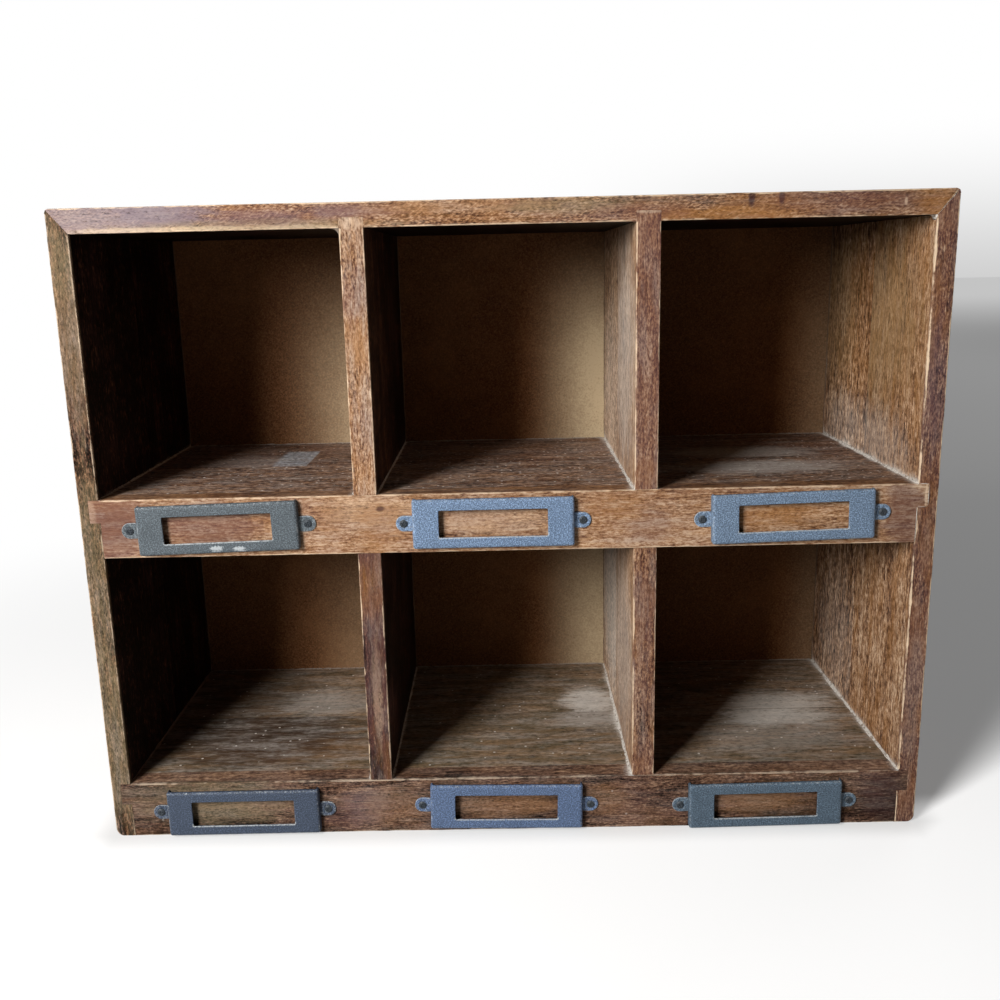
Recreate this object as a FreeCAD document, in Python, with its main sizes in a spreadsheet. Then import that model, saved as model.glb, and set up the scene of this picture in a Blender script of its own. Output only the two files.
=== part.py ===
import FreeCAD, Part
import os
import re
import Sketcher
from FreeCAD import Placement, Rotation, Vector

# Cubby shelf: six open pigeonholes in two rows, each with a pressed label holder on the rail below it.
# X runs left to right, Y from front to back, Z up; the origin is the middle of the footprint on the floor.

# Driving sizes in millimetres, and tilts in degrees
SIZES = [
    ("case_width", 406.0, "outside, left to right"),
    ("case_height", 309.0, "floor to the top of the case"),
    ("case_depth", 152.0, "front face to back edge"),
    ("side_thickness", 9.6, "left and right boards"),
    ("top_thickness", 11.2, "top board"),
    ("shelf_thickness", 11.1, "middle and bottom shelves"),
    ("divider_thickness", 11.0, "upright dividers"),
    ("front_stave_width", 76.0, "front strip of each edge-glued board"),
    ("upper_opening_height", 122.0, "clear height of the upper row"),
    ("upper_left_bay_width", 120.9, "side to first upper divider"),
    ("upper_middle_bay_width", 121.6, "between the upper dividers"),
    ("lower_left_bay_width", 121.5, "side to first lower divider"),
    ("lower_middle_bay_width", 120.8, "between the lower dividers"),
    ("rail_thickness", 12.0, "front to back"),
    ("middle_rail_height", 28.5, "label rail under the upper row"),
    ("bottom_rail_height", 28.7, "label rail at the floor"),
    ("side_dado_depth", 5.0, "housing cut into a side"),
    ("top_dado_depth", 4.6, "housing cut into the top board"),
    ("arris_radius", 0.8, "eased front edges"),
    ("shortest_eased_edge", 15.0, "edges shorter than this stay sharp"),
    ("foot_radius", 4.0, "rounded outer foot of each side"),
    ("back_panel_thickness", 3.0, "hardboard sheet"),
    ("back_rabbet_depth", 4.0, "rabbet, front to back"),
    ("back_rabbet_width", 5.0, "rabbet, into the board"),
    ("back_panel_clearance", 0.3, "round the sheet in its rabbet"),
    ("nail_length", 14.0, "under the head"),
    ("nail_shank_radius", 0.65, "panel nail"),
    ("nail_head_radius", 1.5, "panel nail"),
    ("nail_head_thickness", 0.5, "panel nail"),
    ("label_width", 76.6, "raised frame of the holder"),
    ("label_height", 24.0, "raised frame of the holder"),
    ("label_rise", 4.0, "rail face to the front of the frame"),
    ("label_sheet", 0.8, "metal thickness"),
    ("label_edge_radius", 1.1, "pressed outer bend"),
    ("window_width", 51.5, "window in the frame"),
    ("window_height", 13.1, "window in the frame"),
    ("window_radius", 0.6, "corners of the window"),
    ("ear_radius", 3.8, "rounded fixing ear"),
    ("ear_reach", 4.2, "frame side to screw centre"),
    ("ear_hole_radius", 1.25, "hole in the ear"),
    ("screw_length", 9.0, "under the head"),
    ("screw_shank_radius", 1.0, "label screw"),
    ("screw_head_radius", 1.9, "label screw"),
    ("screw_head_height", 1.1, "low crowned head"),
    ("screw_rim_height", 0.4, "straight rim under the crown"),
    ("screw_crown_radius", 1.2, "flat middle of the head"),
    ("fastener_clearance", 0.1, "round a shank in its hole"),
    ("upper_left_label_shift", -4.2, "from the middle of its bay"),
    ("upper_middle_label_shift", -6.0, "from the middle of its bay"),
    ("upper_right_label_shift", 2.4, "from the middle of its bay"),
    ("lower_left_label_shift", -3.6, "from the middle of its bay"),
    ("lower_middle_label_shift", -3.0, "from the middle of its bay"),
    ("lower_right_label_shift", -5.5, "from the middle of its bay"),
    ("upper_left_label_lift", 0.3, "from the middle of its rail"),
    ("upper_middle_label_lift", 0.3, "from the middle of its rail"),
    ("upper_right_label_lift", 0.3, "from the middle of its rail"),
    ("lower_left_label_lift", -0.8, "from the middle of its rail"),
    ("lower_middle_label_lift", -0.1, "from the middle of its rail"),
    ("lower_right_label_lift", -1.5, "from the middle of its rail"),
    ("upper_left_label_tilt", 1.3, "right end up"),
    ("upper_middle_label_tilt", 0.1, "right end up"),
    ("upper_right_label_tilt", 1.3, "right end up"),
    ("lower_left_label_tilt", 0.2, "right end up"),
    ("lower_middle_label_tilt", -0.8, "right end up"),
    ("lower_right_label_tilt", 0.7, "right end up"),
    ("overrun", 2.0, "cuts run past the wood by this much"),
]

doc = FreeCAD.newDocument("cubby_shelf")
sheet = doc.addObject("Spreadsheet::Sheet", "Sizes")
for row, (alias, value, meaning) in enumerate(SIZES, start=1):
    sheet.set(f"A{row}", alias)
    sheet.set(f"B{row}", str(value))
    sheet.set(f"C{row}", meaning)
    sheet.setAlias(f"B{row}", alias)
doc.recompute()
aliases = {alias for alias, _, _ in SIZES}
NEAR = 0.08  # millimetres; places closer than this count as the same


def size(alias):
    """The number in the sheet under an alias."""
    return float(sheet.get(alias))


def bind(text):
    """An expression in plain aliases, rewritten to read them from the sheet."""
    return re.sub(r"[a-z_]+", lambda word: f"Sizes.{word[0]}" if word[0] in aliases else word[0], text)


# Places worked out from the driving sizes
FRONT = "-(case_depth - label_rise) / 2"
HALF_WIDTH = "case_width / 2"
INNER_HALF = "(case_width / 2 - side_thickness)"
TOP_UNDERSIDE = "(case_height - top_thickness)"
MIDDLE_FLOOR = "(case_height - top_thickness - upper_opening_height)"
MIDDLE_RAIL_FOOT = f"({MIDDLE_FLOOR} - middle_rail_height)"
MIDDLE_SHELF_UNDERSIDE = f"({MIDDLE_FLOOR} - shelf_thickness)"
BOTTOM_SHELF_UNDERSIDE = "(bottom_rail_height - shelf_thickness)"
PANEL_SEAT = "(case_depth - back_rabbet_depth)"
PANEL_BACK = f"({PANEL_SEAT} + back_panel_thickness)"
DIVIDER_LEFT_FACES = {
    "upper_left": f"(upper_left_bay_width - {INNER_HALF})",
    "upper_right": f"(upper_left_bay_width + divider_thickness + upper_middle_bay_width - {INNER_HALF})",
    "lower_left": f"(lower_left_bay_width - {INNER_HALF})",
    "lower_right": f"(lower_left_bay_width + divider_thickness + lower_middle_bay_width - {INNER_HALF})",
}


def origin_plane(body, role):
    """One of the body's own origin planes."""
    return next(plane for plane in body.Origin.OriginFeatures if plane.Role == role)


def new_body(label):
    """An empty body whose local Y starts at the front face of the case."""
    body = doc.addObject("PartDesign::Body", label)
    body.Label = label
    body.setExpression("Placement.Base.y", bind(FRONT))
    return body


def new_sketch(body, name, role, start):
    """A sketch on an origin plane, moved back by start along Y when it faces the front."""
    sketch = body.newObject("Sketcher::SketchObject", name)
    sketch.AttachmentSupport = [(origin_plane(body, role), "")]
    sketch.MapMode = "FlatFace"
    if start != "0":
        sketch.setExpression("AttachmentOffset.Base.z", bind(f"-({start})"))
    return sketch


def locate(sketch, element, vertex, across, up):
    """Fix a vertex at two expressions, measured from the sketch origin."""
    for kind, axis, text in (("DistanceX", -2, across), ("DistanceY", -1, up)):
        if text == "0":
            sketch.addConstraint(Sketcher.Constraint("PointOnObject", element, vertex, axis))
            continue
        index = sketch.addConstraint(Sketcher.Constraint(kind, -1, 1, element, vertex, evaluate(text)))
        sketch.setExpression(f"Constraints[{index}]", bind(text))


def evaluate(text):
    """The present value of an expression in aliases."""
    return float(sheet.evalExpression(bind(text)))


def draw_outline(sketch, corners):
    """A closed outline of straight lines through corners given as pairs of expressions."""
    points = [Vector(evaluate(across), evaluate(up), 0) for across, up in corners]
    for start, end in zip(points, points[1:] + points[:1]):
        sketch.addGeometry(Part.LineSegment(start, end), False)
    count = len(points)
    for index in range(count):
        sketch.addConstraint(Sketcher.Constraint("Coincident", index, 2, (index + 1) % count, 1))
    for index, (across, up) in enumerate(corners):
        locate(sketch, index, 1, across, up)


def draw_circles(sketch, centres, radius):
    """Equal circles about centres given as pairs of expressions."""
    for index, (across, up) in enumerate(centres):
        centre = Vector(evaluate(across), evaluate(up), 0)
        sketch.addGeometry(Part.Circle(centre, Vector(0, 0, 1), evaluate(radius)), False)
        locate(sketch, index, 3, across, up)
        ring = sketch.addConstraint(Sketcher.Constraint("Radius", index, evaluate(radius)))
        sketch.setExpression(f"Constraints[{ring}]", bind(radius))


def rectangle(left, right, low, high):
    """The corners of an upright rectangle."""
    return [(left, low), (right, low), (right, high), (left, high)]


def extrude(body, name, sketch, length, forwards=False):
    """Pad a front-facing sketch towards the back, or towards the viewer."""
    pad = body.newObject("PartDesign::Pad", name)
    pad.Profile = sketch
    pad.setExpression("Length", bind(length))
    pad.Reversed = not forwards
    return pad


def cut(body, name, sketch, length, forwards=False):
    """Pocket a front-facing sketch towards the back or the viewer, and check that it removes wood."""
    doc.recompute()
    before = body.Shape.Volume
    pocket = body.newObject("PartDesign::Pocket", name)
    pocket.Profile = sketch
    pocket.setExpression("Length", bind(length))
    pocket.Reversed = forwards
    doc.recompute()
    if not body.Shape.Volume < before:
        raise RuntimeError(f"{body.Label}: {name} removes nothing")
    return pocket


def slab(label, corners, start, end):
    """A board strip: an outline seen from the front, run from start to end in depth."""
    body = new_body(label)
    sketch = new_sketch(body, f"{label}_outline", "XZ_Plane", start)
    draw_outline(sketch, corners)
    extrude(body, f"{label}_strip", sketch, f"{end} - {start}")
    doc.recompute()
    return body


def notch(body, name, corners, start, end):
    """Cut an outline seen from the front out of a body, from start to end in depth."""
    sketch = new_sketch(body, f"{body.Label}_{name}_outline", "XZ_Plane", start)
    draw_outline(sketch, corners)
    cut(body, f"{body.Label}_{name}", sketch, f"{end} - {start}")


def drill(body, name, centres, radius, start, end):
    """Round holes along Y from start to end."""
    sketch = new_sketch(body, f"{body.Label}_{name}_centres", "XZ_Plane", start)
    draw_circles(sketch, centres, radius)
    cut(body, f"{body.Label}_{name}", sketch, f"({end}) - ({start})")


def round_edges(body, name, radius, chosen):
    """Fillet the edges of a body for which chosen(edge) is true."""
    doc.recompute()
    names = [f"Edge{number}" for number, edge in enumerate(body.Tip.Shape.Edges, start=1) if chosen(edge)]
    if not names:
        raise RuntimeError(f"{body.Label}: {name} finds no edge")
    fillet = body.newObject("PartDesign::Fillet", f"{body.Label}_{name}")
    fillet.Base = (fillet.BaseFeature or body.Tip, names)
    fillet.setExpression("Radius", bind(radius))
    doc.recompute()


def is_straight(edge):
    """True for a line of the eased length or more."""
    return isinstance(edge.Curve, Part.Line) and edge.Length >= size("shortest_eased_edge")


def on_front(edge):
    """True for a long straight edge in the front face of a body."""
    return is_straight(edge) and all(abs(vertex.Point.y) < NEAR for vertex in edge.Vertexes)


def ease_front(body):
    """Round the long arrises of a front face."""
    round_edges(body, "eased_front", "arris_radius", on_front)


# Nails that hold the back panel: rows along the top and the bottom shelf, and a column up each side
NAIL_ROW_SHARES = (-0.86, 0, 0.86)
NAIL_COLUMN_SHARES = (0.32, 0.68)
NAIL_POINT = f"({PANEL_BACK} - nail_length)"
SIDE_NAIL_ACROSS = f"({INNER_HALF} + back_rabbet_width / 2)"


def nail_row(height):
    """Nail centres across the case at one height."""
    return [(f"{share} * {INNER_HALF}", height) for share in NAIL_ROW_SHARES]


def nail_column(sign):
    """Nail centres up one side."""
    return [(f"{sign} * {SIDE_NAIL_ACROSS}", f"{share} * case_height") for share in NAIL_COLUMN_SHARES]


TOP_NAILS = nail_row(f"({TOP_UNDERSIDE} + back_rabbet_width / 2)")
BOTTOM_NAILS = nail_row(f"({BOTTOM_SHELF_UNDERSIDE} + shelf_thickness / 2)")
NAIL_HOLE = "nail_shank_radius + fastener_clearance"


def nail_holes(body, centres):
    """Blind holes for the nails, from the panel's seat into the wood."""
    drill(body, "nail_holes", centres, NAIL_HOLE, NAIL_POINT, f"{PANEL_SEAT} + overrun")


# Top board: mitred ends and two through housings for the upper dividers
def top_outline():
    """Front view of the top board, from the lower left mitre round."""
    housings = []
    for name in ("upper_left", "upper_right"):
        left = DIVIDER_LEFT_FACES[name]
        right = f"({left} + divider_thickness)"
        roof = f"{TOP_UNDERSIDE} + top_dado_depth"
        housings += [(left, TOP_UNDERSIDE), (left, roof), (right, roof), (right, TOP_UNDERSIDE)]
    ends = [(INNER_HALF, TOP_UNDERSIDE), (HALF_WIDTH, "case_height"), (f"-{HALF_WIDTH}", "case_height")]
    return [(f"-{INNER_HALF}", TOP_UNDERSIDE)] + housings + ends


top_front = slab("top_board_front_stave", top_outline(), "0", "front_stave_width")
ease_front(top_front)
top_back = slab("top_board_back_stave", top_outline(), "front_stave_width", "case_depth")
top_rabbet = rectangle(
    f"-({HALF_WIDTH} + overrun)", f"{HALF_WIDTH} + overrun",
    f"{TOP_UNDERSIDE} - overrun", f"{TOP_UNDERSIDE} + back_rabbet_width",
)
notch(top_back, "rabbet", top_rabbet, PANEL_SEAT, "case_depth + overrun")
nail_holes(top_back, TOP_NAILS)


# Sides: mitred to the top board, with a housing for each shelf and a rounded foot
def side_outline(sign):
    """Front view of a side, from its outer foot round, with sign -1 on the left and 1 on the right."""
    outer = f"{sign} * {HALF_WIDTH}"
    inner = f"{sign} * {INNER_HALF}"
    housed = f"{sign} * ({INNER_HALF} + side_dado_depth)"
    corners = [(outer, "0"), (inner, "0")]
    floors = ((BOTTOM_SHELF_UNDERSIDE, "bottom_rail_height"), (MIDDLE_SHELF_UNDERSIDE, MIDDLE_FLOOR))
    for low, high in floors:
        corners += [(inner, low), (housed, low), (housed, high), (inner, high)]
    return corners + [(inner, TOP_UNDERSIDE), (outer, "case_height")]


def is_foot_corner(edge):
    """True for the edge that runs back along the outer foot of a side."""
    return is_straight(edge) and all(
        abs(abs(vertex.Point.x) - size("case_width") / 2) < NEAR and abs(vertex.Point.z) < NEAR
        for vertex in edge.Vertexes
    )


def side(name, sign):
    """Front and back staves of one side."""
    front = slab(f"{name}_front_stave", side_outline(sign), "0", "front_stave_width")
    round_edges(front, "rounded_foot", "foot_radius", is_foot_corner)
    ease_front(front)
    back = slab(f"{name}_back_stave", side_outline(sign), "front_stave_width", "case_depth")
    round_edges(back, "rounded_foot", "foot_radius", is_foot_corner)
    reach = (f"{sign} * ({INNER_HALF} - overrun)", f"{sign} * ({INNER_HALF} + back_rabbet_width)")
    rabbet = rectangle(reach[0], reach[1], "-overrun", "case_height + overrun")
    notch(back, "rabbet", rabbet, PANEL_SEAT, "case_depth + overrun")
    nail_holes(back, nail_column(sign))


side("left_side", -1)
side("right_side", 1)


# Shelves: housed in the sides, behind the label rails
def shelf(name, underside):
    """Front and back staves of one shelf; the back one is returned."""
    reach = f"({INNER_HALF} + side_dado_depth)"
    outline = rectangle(f"-{reach}", reach, underside, f"{underside} + shelf_thickness")
    slab(f"{name}_front_stave", outline, "rail_thickness", "front_stave_width")
    return slab(f"{name}_back_stave", outline, "front_stave_width", PANEL_SEAT)


shelf("middle_shelf", MIDDLE_SHELF_UNDERSIDE)
bottom_back = shelf("bottom_shelf", BOTTOM_SHELF_UNDERSIDE)
nail_holes(bottom_back, BOTTOM_NAILS)


# Upright dividers: the upper ones are housed in the top board, the lower ones fit under the rail and shelf
def upper_divider(name):
    """Front and back staves of a divider in the upper row."""
    left = DIVIDER_LEFT_FACES[name]
    outline = rectangle(left, f"{left} + divider_thickness", MIDDLE_FLOOR, f"{TOP_UNDERSIDE} + top_dado_depth")
    front = slab(f"{name}_divider_front_stave", outline, "0", "front_stave_width")
    ease_front(front)
    slab(f"{name}_divider_back_stave", outline, "front_stave_width", PANEL_SEAT)


def lower_divider(name):
    """Front and back staves of a divider in the lower row, the front one notched round the rail."""
    left = DIVIDER_LEFT_FACES[name]
    right = f"{left} + divider_thickness"
    outline = rectangle(left, right, "bottom_rail_height", MIDDLE_SHELF_UNDERSIDE)
    front = slab(f"{name}_divider_front_stave", outline, "0", "front_stave_width")
    rail_space = rectangle(
        f"{left} - overrun", f"{right} + overrun", MIDDLE_RAIL_FOOT, f"{MIDDLE_SHELF_UNDERSIDE} + overrun",
    )
    sketch = new_sketch(front, f"{name}_divider_rail_outline", "XZ_Plane", "-overrun")
    draw_outline(sketch, rail_space)
    cut(front, f"{name}_divider_rail_notch", sketch, "rail_thickness + overrun")
    ease_front(front)
    slab(f"{name}_divider_back_stave", outline, "front_stave_width", PANEL_SEAT)


for divider_name in ("upper_left", "upper_right"):
    upper_divider(divider_name)
for divider_name in ("lower_left", "lower_right"):
    lower_divider(divider_name)


# Label holders: where each one sits, and which way it leans
def bay_middle(row, bay):
    """Middle of one bay across the case."""
    first = DIVIDER_LEFT_FACES[f"{row}_left"]
    second = DIVIDER_LEFT_FACES[f"{row}_right"]
    middles = {
        "left": f"({first} - {INNER_HALF}) / 2",
        "middle": f"({first} + divider_thickness + {second}) / 2",
        "right": f"({second} + divider_thickness + {INNER_HALF}) / 2",
    }
    return middles[bay]


RAIL_MIDDLES = {
    "upper": f"({MIDDLE_RAIL_FOOT} + middle_rail_height / 2)",
    "lower": "bottom_rail_height / 2",
}
LABEL_PLACES = {
    f"{row}_{bay}": (
        f"({bay_middle(row, bay)} + {row}_{bay}_label_shift)",
        f"({RAIL_MIDDLES[row]} + {row}_{bay}_label_lift)",
        f"{row}_{bay}_label_tilt",
    )
    for row in ("upper", "lower")
    for bay in ("left", "middle", "right")
}
SCREW_OFFSET = "(label_width / 2 + ear_reach)"


def screw_centres(row):
    """Centres of the six screws of one row, leaning with their holders."""
    centres = []
    for name, (across, up, tilt) in LABEL_PLACES.items():
        if name.startswith(row):
            for sign in (-1, 1):
                run = f"{sign} * {SCREW_OFFSET} * cos({tilt} * 1 deg)"
                climb = f"{sign} * {SCREW_OFFSET} * sin({tilt} * 1 deg)"
                centres.append((f"{across} + {run}", f"{up} + {climb}"))
    return centres


# Rails: the upper part of each ends in tongues that fill the front of the shelf's housing
def rail(name, row, foot, shoulder, top):
    """A label rail with a tongue at each end and pilot holes for its screws."""
    tongue = f"({INNER_HALF} + side_dado_depth)"
    outline = [
        (f"-{INNER_HALF}", foot), (INNER_HALF, foot), (INNER_HALF, shoulder), (tongue, shoulder),
        (tongue, top), (f"-{tongue}", top), (f"-{tongue}", shoulder), (f"-{INNER_HALF}", shoulder),
    ]
    body = slab(name, outline, "0", "rail_thickness")
    ease_front(body)
    pilot = "screw_shank_radius + fastener_clearance"
    drill(body, "pilot_holes", screw_centres(row), pilot, "-overrun", "screw_length")


rail("middle_rail", "upper", MIDDLE_RAIL_FOOT, MIDDLE_SHELF_UNDERSIDE, MIDDLE_FLOOR)
rail("bottom_rail", "lower", "0", BOTTOM_SHELF_UNDERSIDE, "bottom_rail_height")


# Back panel: a thin sheet in the rabbets, down to the underside of the bottom shelf
PANEL_REACH = f"({INNER_HALF} + back_rabbet_width - back_panel_clearance)"
panel_outline = rectangle(
    f"-{PANEL_REACH}", PANEL_REACH,
    BOTTOM_SHELF_UNDERSIDE, f"{TOP_UNDERSIDE} + back_rabbet_width - back_panel_clearance",
)
panel = slab("back_panel", panel_outline, PANEL_SEAT, PANEL_BACK)
ALL_NAILS = TOP_NAILS + BOTTOM_NAILS + nail_column(-1) + nail_column(1)
drill(panel, "nail_holes", ALL_NAILS, NAIL_HOLE, f"{PANEL_SEAT} - overrun", f"{PANEL_BACK} + overrun")


# Nails: one plain round nail, repeated at every centre
def turned(profile):
    """A solid turned about the local Y axis from points (radius, depth)."""
    points = [Vector(radius, depth, 0) for radius, depth in profile]
    wire = Part.makePolygon(points + points[:1])
    return Part.Face(wire).revolve(Vector(0, 0, 0), Vector(0, 1, 0), 360)


def nail():
    """A nail with its head's underside at the origin, pointing to the front."""
    shank, head = size("nail_shank_radius"), size("nail_head_radius")
    length, cap = size("nail_length"), size("nail_head_thickness")
    return turned([(0, cap), (head, cap), (head, 0), (shank, 0), (shank, -length), (0, -length)])


nails = doc.addObject("Part::Feature", "back_panel_nails")
nails.Label = "back_panel_nails"
nail_solids = []
for across, up in ALL_NAILS:
    one_nail = nail()
    one_nail.translate(Vector(evaluate(across), evaluate(PANEL_BACK), evaluate(up)))
    nail_solids.append(one_nail)
nails.Shape = Part.makeCompound(nail_solids)
nails.Placement = Placement(Vector(0, evaluate(FRONT), 0), Rotation())


# Label holders: a pressed frame with a window, folded down on three sides, its top open for a card
def is_frame_edge(edge):
    """True for the outer bends of the frame: its front outline and its four upright corners."""
    front = all(abs(vertex.Point.y + size("label_rise")) < NEAR for vertex in edge.Vertexes)
    corner = all(abs(abs(vertex.Point.x) - size("label_width") / 2) < NEAR for vertex in edge.Vertexes)
    return front or (corner and abs(edge.Length - size("label_rise")) < NEAR)


def is_window_corner(edge):
    """True for the short edges through the sheet at the corners of the window."""
    in_window = all(abs(abs(vertex.Point.x) - size("window_width") / 2) < NEAR for vertex in edge.Vertexes)
    return in_window and abs(edge.Length - size("label_sheet")) < NEAR


def label_holder(name, across, up, tilt):
    """One holder, drawn about its own middle with the rail's face at local zero depth."""
    body = new_body(name)
    half_width, half_height = "label_width / 2", "label_height / 2"
    frame = new_sketch(body, f"{name}_frame_outline", "XZ_Plane", "0")
    draw_outline(frame, rectangle(f"-{half_width}", half_width, f"-{half_height}", half_height))
    extrude(body, f"{name}_frame", frame, "label_rise", forwards=True)
    round_edges(body, "outer_bends", "label_edge_radius", is_frame_edge)
    slot = new_sketch(body, f"{name}_slot_outline", "XZ_Plane", "0")
    inside = f"({half_width} - label_sheet)"
    draw_outline(slot, rectangle(f"-{inside}", inside, f"-({half_height} - label_sheet)", f"{half_height} + overrun"))
    cut(body, f"{name}_card_slot", slot, "label_rise - label_sheet", forwards=True)
    window = new_sketch(body, f"{name}_window_outline", "XZ_Plane", "0")
    half_window, half_sight = "window_width / 2", "window_height / 2"
    draw_outline(window, rectangle(f"-{half_window}", half_window, f"-{half_sight}", half_sight))
    cut(body, f"{name}_window", window, "label_rise + overrun", forwards=True)
    round_edges(body, "window_corners", "window_radius", is_window_corner)
    for hand, sign in (("left", -1), ("right", 1)):
        tab = new_sketch(body, f"{name}_{hand}_tab_outline", "XZ_Plane", "0")
        root, tip = f"{sign} * {inside}", f"{sign} * {SCREW_OFFSET}"
        draw_outline(tab, rectangle(root, tip, "-ear_radius", "ear_radius"))
        extrude(body, f"{name}_{hand}_tab", tab, "label_sheet", forwards=True)
        ear = new_sketch(body, f"{name}_{hand}_ear_outline", "XZ_Plane", "0")
        draw_circles(ear, [(tip, "0")], "ear_radius")
        extrude(body, f"{name}_{hand}_ear", ear, "label_sheet", forwards=True)
    holes = new_sketch(body, f"{name}_hole_centres", "XZ_Plane", "-overrun")
    draw_circles(holes, [(f"-{SCREW_OFFSET}", "0"), (SCREW_OFFSET, "0")], "ear_hole_radius")
    cut(body, f"{name}_ear_holes", holes, "2 * overrun")
    body.setExpression("Placement.Base.x", bind(across))
    body.setExpression("Placement.Base.z", bind(up))
    body.Placement.Rotation = Rotation(Vector(0, -1, 0), evaluate(tilt))
    body.setExpression("Placement.Rotation.Angle", bind(f"{tilt} * 1 deg"))


# Label screws: low crowned heads on the ears, with their shanks in the rail
def label_screw():
    """A screw with its head's underside at the origin, pointing to the back."""
    shank, head, flat = size("screw_shank_radius"), size("screw_head_radius"), size("screw_crown_radius")
    length, rim, crown = size("screw_length"), size("screw_rim_height"), size("screw_head_height")
    return turned([(0, -crown), (flat, -crown), (head, -rim), (head, 0), (shank, 0), (shank, length), (0, length)])


def label_screws(name, across, up, tilt):
    """The two screws of one holder."""
    pair = doc.addObject("Part::Feature", name)
    pair.Label = name
    solids = []
    for sign in (-1, 1):
        screw = label_screw()
        screw.translate(Vector(sign * evaluate(SCREW_OFFSET), -size("label_sheet"), 0))
        solids.append(screw)
    pair.Shape = Part.makeCompound(solids)
    turn = Rotation(Vector(0, -1, 0), evaluate(tilt))
    pair.Placement = Placement(Vector(evaluate(across), evaluate(FRONT), evaluate(up)), turn)


for place_name, (place_across, place_up, place_tilt) in LABEL_PLACES.items():
    label_holder(f"{place_name}_label_holder", place_across, place_up, place_tilt)
    label_screws(f"{place_name}_label_screws", place_across, place_up, place_tilt)


# Check every piece, then write one file for each
doc.recompute()
failed = [item.Label for item in doc.Objects if "Invalid" in item.State or "Error" in item.State]
if failed:
    raise RuntimeError(f"failed features: {failed}")
pieces = [item for item in doc.Objects if item.TypeId == "PartDesign::Body"]
pieces += [item for item in doc.Objects if item.TypeId == "Part::Feature"]
for piece in pieces:
    if piece.Shape.isNull() or not piece.Shape.isValid():
        raise RuntimeError(f"{piece.Label}: bad shape")
os.makedirs("parts", exist_ok=True)
for piece in pieces:
    piece.Shape.exportStep(os.path.join("parts", f"{piece.Label}.step"))
    box = piece.Shape.BoundBox
    print(f"{piece.Label}: {len(piece.Shape.Solids)} solids, {box.XLength:.1f} x {box.YLength:.1f} x {box.ZLength:.1f} mm")
print(f"{len(pieces)} pieces")
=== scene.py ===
import bpy
import numpy as np
from math import pi, radians
from mathutils import Euler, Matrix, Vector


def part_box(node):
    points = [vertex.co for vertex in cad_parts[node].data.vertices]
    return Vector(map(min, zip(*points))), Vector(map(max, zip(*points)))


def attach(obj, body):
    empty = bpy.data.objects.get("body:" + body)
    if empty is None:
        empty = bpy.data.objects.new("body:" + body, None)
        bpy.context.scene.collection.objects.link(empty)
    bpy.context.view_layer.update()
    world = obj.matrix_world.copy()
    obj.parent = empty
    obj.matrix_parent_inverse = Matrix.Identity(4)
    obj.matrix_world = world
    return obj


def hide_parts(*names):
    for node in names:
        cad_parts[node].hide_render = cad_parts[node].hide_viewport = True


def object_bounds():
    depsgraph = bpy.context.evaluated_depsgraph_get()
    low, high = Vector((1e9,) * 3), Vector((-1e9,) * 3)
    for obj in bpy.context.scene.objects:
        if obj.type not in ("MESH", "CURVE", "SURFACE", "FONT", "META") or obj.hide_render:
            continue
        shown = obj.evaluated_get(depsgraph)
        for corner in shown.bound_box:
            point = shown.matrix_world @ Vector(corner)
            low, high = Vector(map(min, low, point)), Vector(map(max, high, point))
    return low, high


# Cubby shelf: six open pigeonholes of stained, worn wood, with a painted metal label holder under each.
# X runs left to right, Y from front to back, Z up, all in metres.

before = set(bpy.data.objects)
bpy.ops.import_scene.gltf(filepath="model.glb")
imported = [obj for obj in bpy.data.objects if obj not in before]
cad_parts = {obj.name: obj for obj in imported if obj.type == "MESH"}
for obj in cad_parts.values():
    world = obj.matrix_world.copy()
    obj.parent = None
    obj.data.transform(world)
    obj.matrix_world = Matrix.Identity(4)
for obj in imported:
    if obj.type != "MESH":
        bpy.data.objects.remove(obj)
cadLow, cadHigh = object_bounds()
mm = 0.001


# The low and high corner of a node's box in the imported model
def nodeBox(name):
    low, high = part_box(name)
    return np.array(low), np.array(high)


sideLow, sideHigh = nodeBox("left_side_front_stave")
midShelfLow, midShelfHigh = nodeBox("middle_shelf_front_stave")
lowShelfLow, lowShelfHigh = nodeBox("bottom_shelf_front_stave")
midRailLow, midRailHigh = nodeBox("middle_rail")
lowRailLow, lowRailHigh = nodeBox("bottom_rail")
panelLow, panelHigh = nodeBox("back_panel")
dividers = {f"{row}_{side}": nodeBox(f"{row}_{side}_divider_front_stave")
            for row in ("upper", "lower") for side in ("left", "right")}
frontY, seamY = sideLow[1], sideHigh[1]
seatY, backY = panelLow[1], cadHigh[1]
railBackY = midRailHigh[1]
outerX, innerX, housedX = cadHigh[0], -sideHigh[0], midShelfHigh[0]
topZ, ceilingZ = cadHigh[2], nodeBox("top_board_front_stave")[0][2]
lowerCeiling, railFoot, lowShelfUnder = midShelfLow[2], midRailLow[2], lowShelfLow[2]
upperFloor, lowerFloor = midShelfHigh[2], lowShelfHigh[2]
cubbies = []  # left wall, right wall and floor of each pigeonhole
for row, floor in (("upper", upperFloor), ("lower", lowerFloor)):
    walls = [dividers[f"{row}_{side}"][k][0] for side in ("left", "right") for k in (0, 1)]
    walls = [-innerX, *walls, innerX]
    cubbies += [(walls[2 * k], walls[2 * k + 1], floor) for k in range(3)]
caseSize = np.round((np.array(cadHigh) - np.array(cadLow)) / mm, 1)
print("frame: case", caseSize[0], "x", caseSize[2], "mm")


# Seeded noise between -1 and 1 along a line: random values at even knots, joined by smooth steps
def lineNoise(places, knot, seed, knots=4096):
    values = np.random.default_rng(seed).uniform(-1, 1, knots)
    cell = np.asarray(places) / knot
    low = np.floor(cell).astype(int)
    share = cell - low
    share = share * share * (3 - 2 * share)
    return values[low % knots] * (1 - share) + values[(low + 1) % knots] * share


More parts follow.
